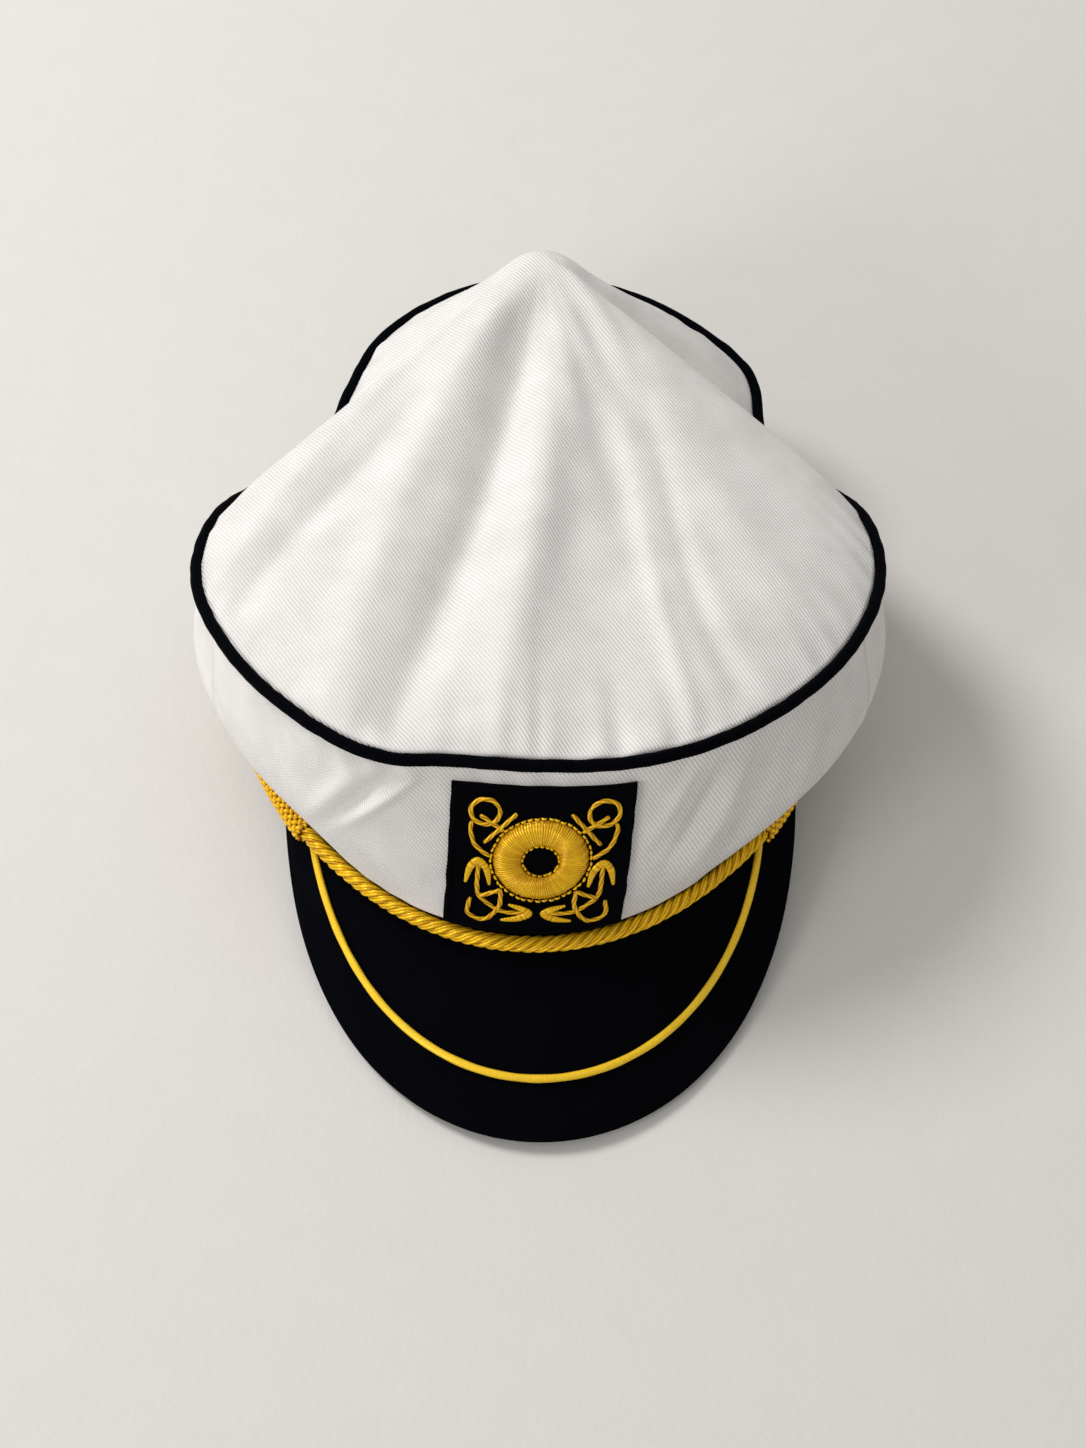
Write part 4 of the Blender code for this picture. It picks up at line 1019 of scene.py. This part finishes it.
def build_button(name, node, mirror):
    angle = BUTTON_ANGLE * mirror
    side = unit(band_point(angle + 1, 0.0) - band_point(angle - 1, 0.0))
    out = unit(np.cross(side, UP))
    foot = band_point(angle, cord_point(angle)[2], SEWN_GAP)
    t = np.linspace(0, 1, BUTTON_LINES)
    past_rim = np.maximum(t - BUTTON_RIM, 0)
    wide = np.sqrt(1 - (past_rim / BUTTON_ROUND) ** 2)
    rise = BUTTON_EDGE * np.minimum(t / BUTTON_RIM, 1)
    rise = rise + (1 - BUTTON_EDGE) * np.sin(past_rim / (1 - BUTTON_RIM) * math.pi / 2)
    turn = full_turn(BUTTON_SIDES)
    ribs = 0.5 + 0.5 * np.cos(BUTTON_RIBS * turn + 5 * t[:, None])
    radius = BUTTON_DIAMETER / 2 * wide[:, None] * (0.95 + 0.05 * ribs)
    points = foot + radius[..., None] * spoke(side, np.cross(side, out), turn)
    points = points + out * (BUTTON_DEPTH * rise)[:, None, None]
    last = (BUTTON_LINES - 1) * BUTTON_SIDES
    closed = [fan_faces(0, BUTTON_SIDES), fan_faces(last, BUTTON_SIDES)]
    faces = np.concatenate([grid_faces(BUTTON_LINES, BUTTON_SIDES, True), *closed])
    bag = Bag()
    # Painted shade in the hollows between the ribs
    bag.add(points, faces, 0.6 - 0.6 * ribs)
    bag.make(name, GOLD_PLAIT, node)


build_button("button_wound_left", "cord_button_left", -1)
build_button("button_wound_right", "cord_button_right", 1)

# %% [markdown]
# ## The badge's cloth
# The badge is a rectangle of black cloth with its edges folded under and stitched down. The fold makes the
# border a little thicker, with a shallow line of stitches inside it. The grid is finest at the edges,
# where the surface turns down to the crown.

# %% Make the badge's cloth
PATCH_STEPS, PATCH_WAVER = 120, 0.00012
BORDER, EDGE_ROUND, FOLD_RISE, STITCH_DEPTH, STITCH_WIDTH = 0.0024, 0.0007, 0.00038, 0.00022, 0.00035


def patch_lift(across, up):
    """The height of the badge's face over the crown."""
    inset = np.minimum(PATCH_WIDTH / 2 - np.abs(across), PATCH_HEIGHT / 2 - np.abs(up))
    fold = FOLD_RISE * (1 - ease((inset - BORDER * 0.8) / (BORDER * 0.35)))
    stitches = STITCH_DEPTH * np.exp(-(((inset - BORDER) / STITCH_WIDTH) ** 2))
    round_edge = EDGE_ROUND * (1 - np.sqrt(1 - (1 - np.clip(inset / EDGE_ROUND, 0, 1)) ** 2))
    return SEWN_GAP + PATCH_WALL + fold - stitches - round_edge


places = np.linspace(-1, 1, PATCH_STEPS + 1)
places = np.sign(places) * (1 - (1 - np.abs(places)) ** 1.35)
patch_x, patch_y = np.meshgrid(places * PATCH_WIDTH / 2, -places * PATCH_HEIGHT / 2)
wave_x = patch_x + PATCH_WAVER * wobble(patch_y, 81, 5, 40, 120)
face = patch_point(wave_x, patch_y, patch_lift(patch_x, patch_y))
back = patch_point(wave_x, patch_y, np.full(patch_x.shape, SEWN_GAP * 0.5))
side, count, steps = PATCH_STEPS + 1, patch_x.size, np.arange(PATCH_STEPS)
border = np.concatenate([steps, steps * side + PATCH_STEPS, count - 1 - steps, (PATCH_STEPS - steps) * side])
after = np.roll(border, -1)
edge_faces = np.stack([border, after, after + count, border + count], axis=-1)
patch_faces = np.concatenate([grid_faces(side, side), grid_faces(side, side) + count, edge_faces])
patch_cloth = flat_cloth(patch_x, patch_y)
make_piece("badge_patch_cloth", np.concatenate([face, back]), patch_faces, BLACK_CLOTH, ["badge_patch"],
           "black_cotton", cloth=np.concatenate([patch_cloth, patch_cloth]))

# %% [markdown]
# ## The life ring
# The ring is padded and then covered with satin stitch: threads laid side by side from the hole to the rim.
# Each thread is a ripple in the mesh, a little uneven in height and lustre, because hand-laid threads never
# match. A row of short stitches runs round the rim and another round the hole, to hold the padding.

# %% Embroider the ring
BADGE_LIFT = PATCH_WALL + 2 * SEWN_GAP
THREADS, THREAD_STEPS, RING_LINES = 96, 10, 22
RIDGE, UNEVEN_RIDGE, UNEVEN_RIM, RIM_INSET, UNDERLAP = 0.00020, 0.00005, 0.00018, 0.0004, 0.0002
# Reach of each row of dashes from the ring's middle, how many, and its seed
DASH_ROWS = [(RING_DIAMETER / 2 + 0.00030, 46, 91), (RING_HOLE / 2 - 0.0005, 20, 92)]
DASH_RADIUS, DASH_ARCH, DASH_STRAY, DASH_STEPS = 0.00040, 0.00045, 0.00015, 7


def ring_place(turn, reach, lift):
    return emblem_point(reach * np.sin(turn), reach * np.cos(turn), lift)


ring_count = THREADS * THREAD_STEPS
ring_turn = full_turn(ring_count)
random = np.random.default_rng(7)
thread_of = np.arange(ring_count) // THREAD_STEPS
lustre, fullness = random.uniform(0, 1, THREADS)[thread_of], random.uniform(-1, 1, THREADS)[thread_of]
ridge = np.abs(np.sin(math.pi * (np.arange(ring_count) % THREAD_STEPS) / THREAD_STEPS)) ** 0.7
ring_share = np.linspace(0, 1, RING_LINES)[:, None]
dome = RING_HEIGHT * (1 - np.abs(2 * ring_share - 0.92) ** 2.4).clip(0.0, 1) ** 0.6
ring_reach = RING_HOLE / 2 + (RING_DIAMETER / 2 - RIM_INSET - RING_HOLE / 2) * ring_share
ring_reach = ring_reach + UNEVEN_RIM * fullness * (ring_share > 0.9)
ring_lift = BADGE_LIFT + dome + (RIDGE * ridge + UNEVEN_RIDGE * fullness) * (dome > 0.0003)
satin = ring_place(ring_turn, ring_reach, ring_lift)
base = ring_place(ring_turn, ring_reach[[-1, 0]], np.full((2, ring_count), BADGE_LIFT - UNDERLAP))
# Painted shade between the threads and towards the ring's edges, and a random darkening per thread for its
# uneven lustre
satin_groove = (0.95 * (1 - ridge) + 0.40 * lustre).clip(0, 1)
edge_shade = 0.6 + 0.4 * np.abs(np.linspace(-1, 1, RING_LINES + 2))[:, None]
ring_bag = Bag()
ring_faces = loop_faces(RING_LINES + 2, ring_count, True)
ring_bag.add(np.concatenate([satin, base]), ring_faces, satin_groove * edge_shade)
for reach, stitches, seed in DASH_ROWS:
    random = np.random.default_rng(seed)
    for k in range(stitches):
        middle = 2 * math.pi * (k + random.uniform(-0.12, 0.12)) / stitches
        half = math.pi / stitches * random.uniform(0.62, 0.76)
        turn = middle + np.linspace(-half, half, DASH_STEPS)
        wander = reach + random.uniform(-DASH_STRAY, DASH_STRAY)
        wander = wander + np.linspace(-1, 1, DASH_STEPS) * random.uniform(-DASH_STRAY, DASH_STRAY)
        arch = np.sin(np.linspace(0, math.pi, DASH_STEPS))
        path = ring_place(turn, wander, BADGE_LIFT + DASH_STRAY + DASH_ARCH * arch)
        ups = ring_place(turn, wander, BADGE_LIFT + 1.0 + 0 * arch) - path
        outline = circle(DASH_STEPS, DASH_RADIUS * (0.75 + 0.25 * arch), 8)
        ring_bag.add_tube(path, ups, outline, 0.25 * random.random())
ring_bag.make("life_ring_satin", GOLD_SATIN, "badge_life_ring")

# %% [markdown]
# ## The anchors
# The anchors are drawn with lines of couched gold cord, and their flukes are small crescents of satin
# stitch. A cord this fine is two or three plies twisted together, so its outline has shallow lobes that
# turn as it goes. A crescent is the same outline, wide in its middle, with ribs that lie across it.

# %% The anchors' lines
# Places on the badge, as shares of its width and height from its middle. The eye also has a radius.
EYE = (-0.319, 0.302, 0.080)
HEAD_LINES = {
    "shank": [(-0.345, 0.280), (-0.213, 0.188)],
    "stock": [(-0.148, 0.306), (-0.313, 0.104)],
    "rope": [(-0.388, 0.235), (-0.392, 0.180), (-0.361, 0.085), (-0.279, 0.017)],
}
FOOT_LINES = {
    "arms": [(-0.337, -0.035), (-0.329, -0.235), (-0.271, -0.309), (-0.187, -0.360), (-0.060, -0.362)],
    "upper fluke": [(-0.401, -0.177), (-0.380, -0.070), (-0.338, -0.018), (-0.290, -0.070), (-0.267, -0.176)],
    "lower fluke": [(-0.155, -0.302), (-0.080, -0.330), (-0.042, -0.362), (-0.100, -0.400), (-0.191, -0.422)],
    "shank": [(-0.203, -0.202), (-0.320, -0.262)],
    "rope": [(-0.203, -0.200), (-0.206, -0.321), (-0.280, -0.427), (-0.371, -0.396), (-0.366, -0.282)],
}
# Shares of the stroke's width and height for plain and bold lines and for flukes
PLAIN_WIDTH, BOLD_WIDTH, FLUKE_WIDTH, FLUKE_HEIGHT = 1.05, 1.12, 1.8, 1.15
STROKE_SIDES, STROKE_SINK, PLY_PITCH, RIB_PITCH = 14, 0.0001, 0.0040, 0.00050


def smooth_line(points, step=0.0003):
    """A smooth flat curve through a few points, in metres."""
    points = np.array(points) * [PATCH_WIDTH, PATCH_HEIGHT]
    guide = np.concatenate([[2 * points[0] - points[1]], points, [2 * points[-1] - points[-2]]])
    line = []
    for p0, p1, p2, p3 in zip(guide, guide[1:], guide[2:], guide[3:]):
        t = np.linspace(0, 1, max(int(np.linalg.norm(p2 - p1) / step), 2), endpoint=False)[:, None]
        line.append(between(t, p1, p2, (p2 - p0) / 2, (p3 - p1) / 2))
    return np.concatenate(line + [points[-1:]])


def add_stroke(bag, line, order, mirror, wide=PLAIN_WIDTH, tall=1.0, crescent=False):
    """A line of couched cord, or a satin crescent. Each order lies a little over the last one."""
    width, height = STROKE_WIDTH * wide, STROKE_HEIGHT * tall
    lift = BADGE_LIFT + height / 2 - STROKE_SINK + CROSSING_LIFT * order
    path = emblem_point(line[:, 0] * mirror, line[:, 1], np.full(len(line), lift))
    ups = emblem_point(line[:, 0] * mirror, line[:, 1], np.full(len(line), lift + 1.0)) - path
    run = distances(path)[:, None]
    share = run / run[-1]
    turn = full_turn(STROKE_SIDES)
    if crescent:
        ribs = np.abs(np.sin(math.pi * run / RIB_PITCH)) + 0 * turn
        size = (0.30 + 0.70 * np.sin(math.pi * share) ** 0.8) * (0.94 + 0.06 * ribs)
    else:
        ribs = 0.5 + 0.5 * np.cos(3 * turn - 2 * math.pi * run / PLY_PITCH * mirror)
        size = (0.72 + 0.28 * ease(np.minimum(share, 1 - share) * 14)) * (0.80 + 0.20 * ribs)
    outline = np.stack([width / 2 * np.cos(turn) * size, height / 2 * np.sin(turn) * size], axis=-1)
    # Painted shade in the hollows between the plies and between the crescent's ribs
    bag.add_tube(path, ups, outline, 0.9 * (1 - ribs))


def build_anchor(side, mirror):
    head, foot = Bag(), Bag()
    eye_turn = np.linspace(0.4, 0.4 + 2 * math.pi, 90)
    eye = np.stack([np.cos(eye_turn), np.sin(eye_turn)], axis=-1) * EYE[2] * PATCH_WIDTH
    add_stroke(head, eye + [EYE[0] * PATCH_WIDTH, EYE[1] * PATCH_HEIGHT], 0, mirror, BOLD_WIDTH)
    for order, points in enumerate(HEAD_LINES.values()):
        add_stroke(head, smooth_line(points), order + 1, mirror)
    for order, (part, points) in enumerate(FOOT_LINES.items()):
        size = (FLUKE_WIDTH, FLUKE_HEIGHT, True) if "fluke" in part else (BOLD_WIDTH, 1.0, False)
        add_stroke(foot, smooth_line(points), order + 1, mirror, *size)
    head.make(f"anchor_head_stitches_{side}", GOLD_SATIN, f"anchor_head_{side}")
    foot.make(f"anchor_foot_stitches_{side}", GOLD_SATIN, f"anchor_foot_{side}")


build_anchor("left", 1)
build_anchor("right", -1)

# %% [markdown]
# ## Floor, light and camera
# The cap lies on a plain pale floor. A large soft lamp from the upper left gives the folds their shape and
# throws a soft shadow to the lower right. A weaker lamp from the left of the front and a pale sky fill the
# rest. The camera looks down on the front of the cap, with a long lens so that the visor isn't stretched.

# %% Floor
FLOOR_SIZE = 6.0
floor_mesh = bpy.data.meshes.new("floor")
corners = [(x * FLOOR_SIZE, y * FLOOR_SIZE, 0) for x, y in ((-1, -1), (1, -1), (1, 1), (-1, 1))]
floor_mesh.from_pydata(corners, [], [(0, 1, 2, 3)])
floor = bpy.data.objects.new("floor", floor_mesh)
bpy.context.scene.collection.objects.link(floor)
FLOOR_PAINT, floor_tree, floor_shader = new_material("pale floor", 0.9)
floor_place = floor_tree.nodes.new("ShaderNodeTexCoord").outputs["Object"]
floor_cloud = noise(floor_tree, floor_place, 60.0, 4.0)
floor_colour = mix_colours(floor_tree, floor_cloud, (0.680, 0.664, 0.640), (0.710, 0.694, 0.668))
floor_tree.links.new(floor_colour, floor_shader.inputs["Base Color"])
add_bump(floor_tree, floor_shader, noise(floor_tree, floor_place, 420.0, 3.0), 0.00025, 0.5)
floor_mesh.materials.append(FLOOR_PAINT)
print("floor:", 2 * FLOOR_SIZE, "m across")

# %% Light
LAMP_TARGET, LAMP_TINT = (0, 0, 0.04), (1.0, 0.988, 0.972)
SKY_TINT, SKY_STRENGTH = (1.0, 0.985, 0.965, 1), 0.47


def add_lamp(name, place, size, energy):
    data = bpy.data.lights.new(name, "AREA")
    data.shape, data.size, data.energy, data.color = "DISK", size, energy, LAMP_TINT
    lamp = bpy.data.objects.new(name, data)
    bpy.context.scene.collection.objects.link(lamp)
    lamp.location = place
    lamp.rotation_euler = (Vector(LAMP_TARGET) - Vector(place)).to_track_quat("-Z", "Y").to_euler()


add_lamp("soft lamp", (-1.08, 0.70, 1.50), size=0.75, energy=24.0)
add_lamp("front lamp", (-1.5, -1.2, 0.95), size=0.8, energy=12.0)
world = bpy.data.worlds.new("pale room")
bpy.context.scene.world = world
world.use_nodes = True
world.node_tree.nodes["Background"].inputs["Color"].default_value = SKY_TINT
world.node_tree.nodes["Background"].inputs["Strength"].default_value = SKY_STRENGTH
bpy.context.scene.view_settings.view_transform = "Standard"

# %% Camera
CAMERA_AT = np.array([0.003, -0.5654, 0.6645])
CAMERA_SLOPE, CAMERA_LENS = 50.0, 60.0
camera_data = bpy.data.cameras.new("camera")
camera_data.lens, camera_data.sensor_width = CAMERA_LENS, 36.0
camera = bpy.data.objects.new("camera", camera_data)
bpy.context.scene.collection.objects.link(camera)
camera.location = stood(CAMERA_AT)
camera.rotation_euler = (math.radians(90 - CAMERA_SLOPE - LEAN), 0, 0)
bpy.context.scene.camera = camera
print("camera at", tuple(round(c, 3) for c in camera.location))

# %% [markdown]
# ## Finish
# The dressed cap must stay as large as its solid model. The last line brings the scene up to date and
# hands it over.

# %% Finish
bpy.context.view_layer.update()
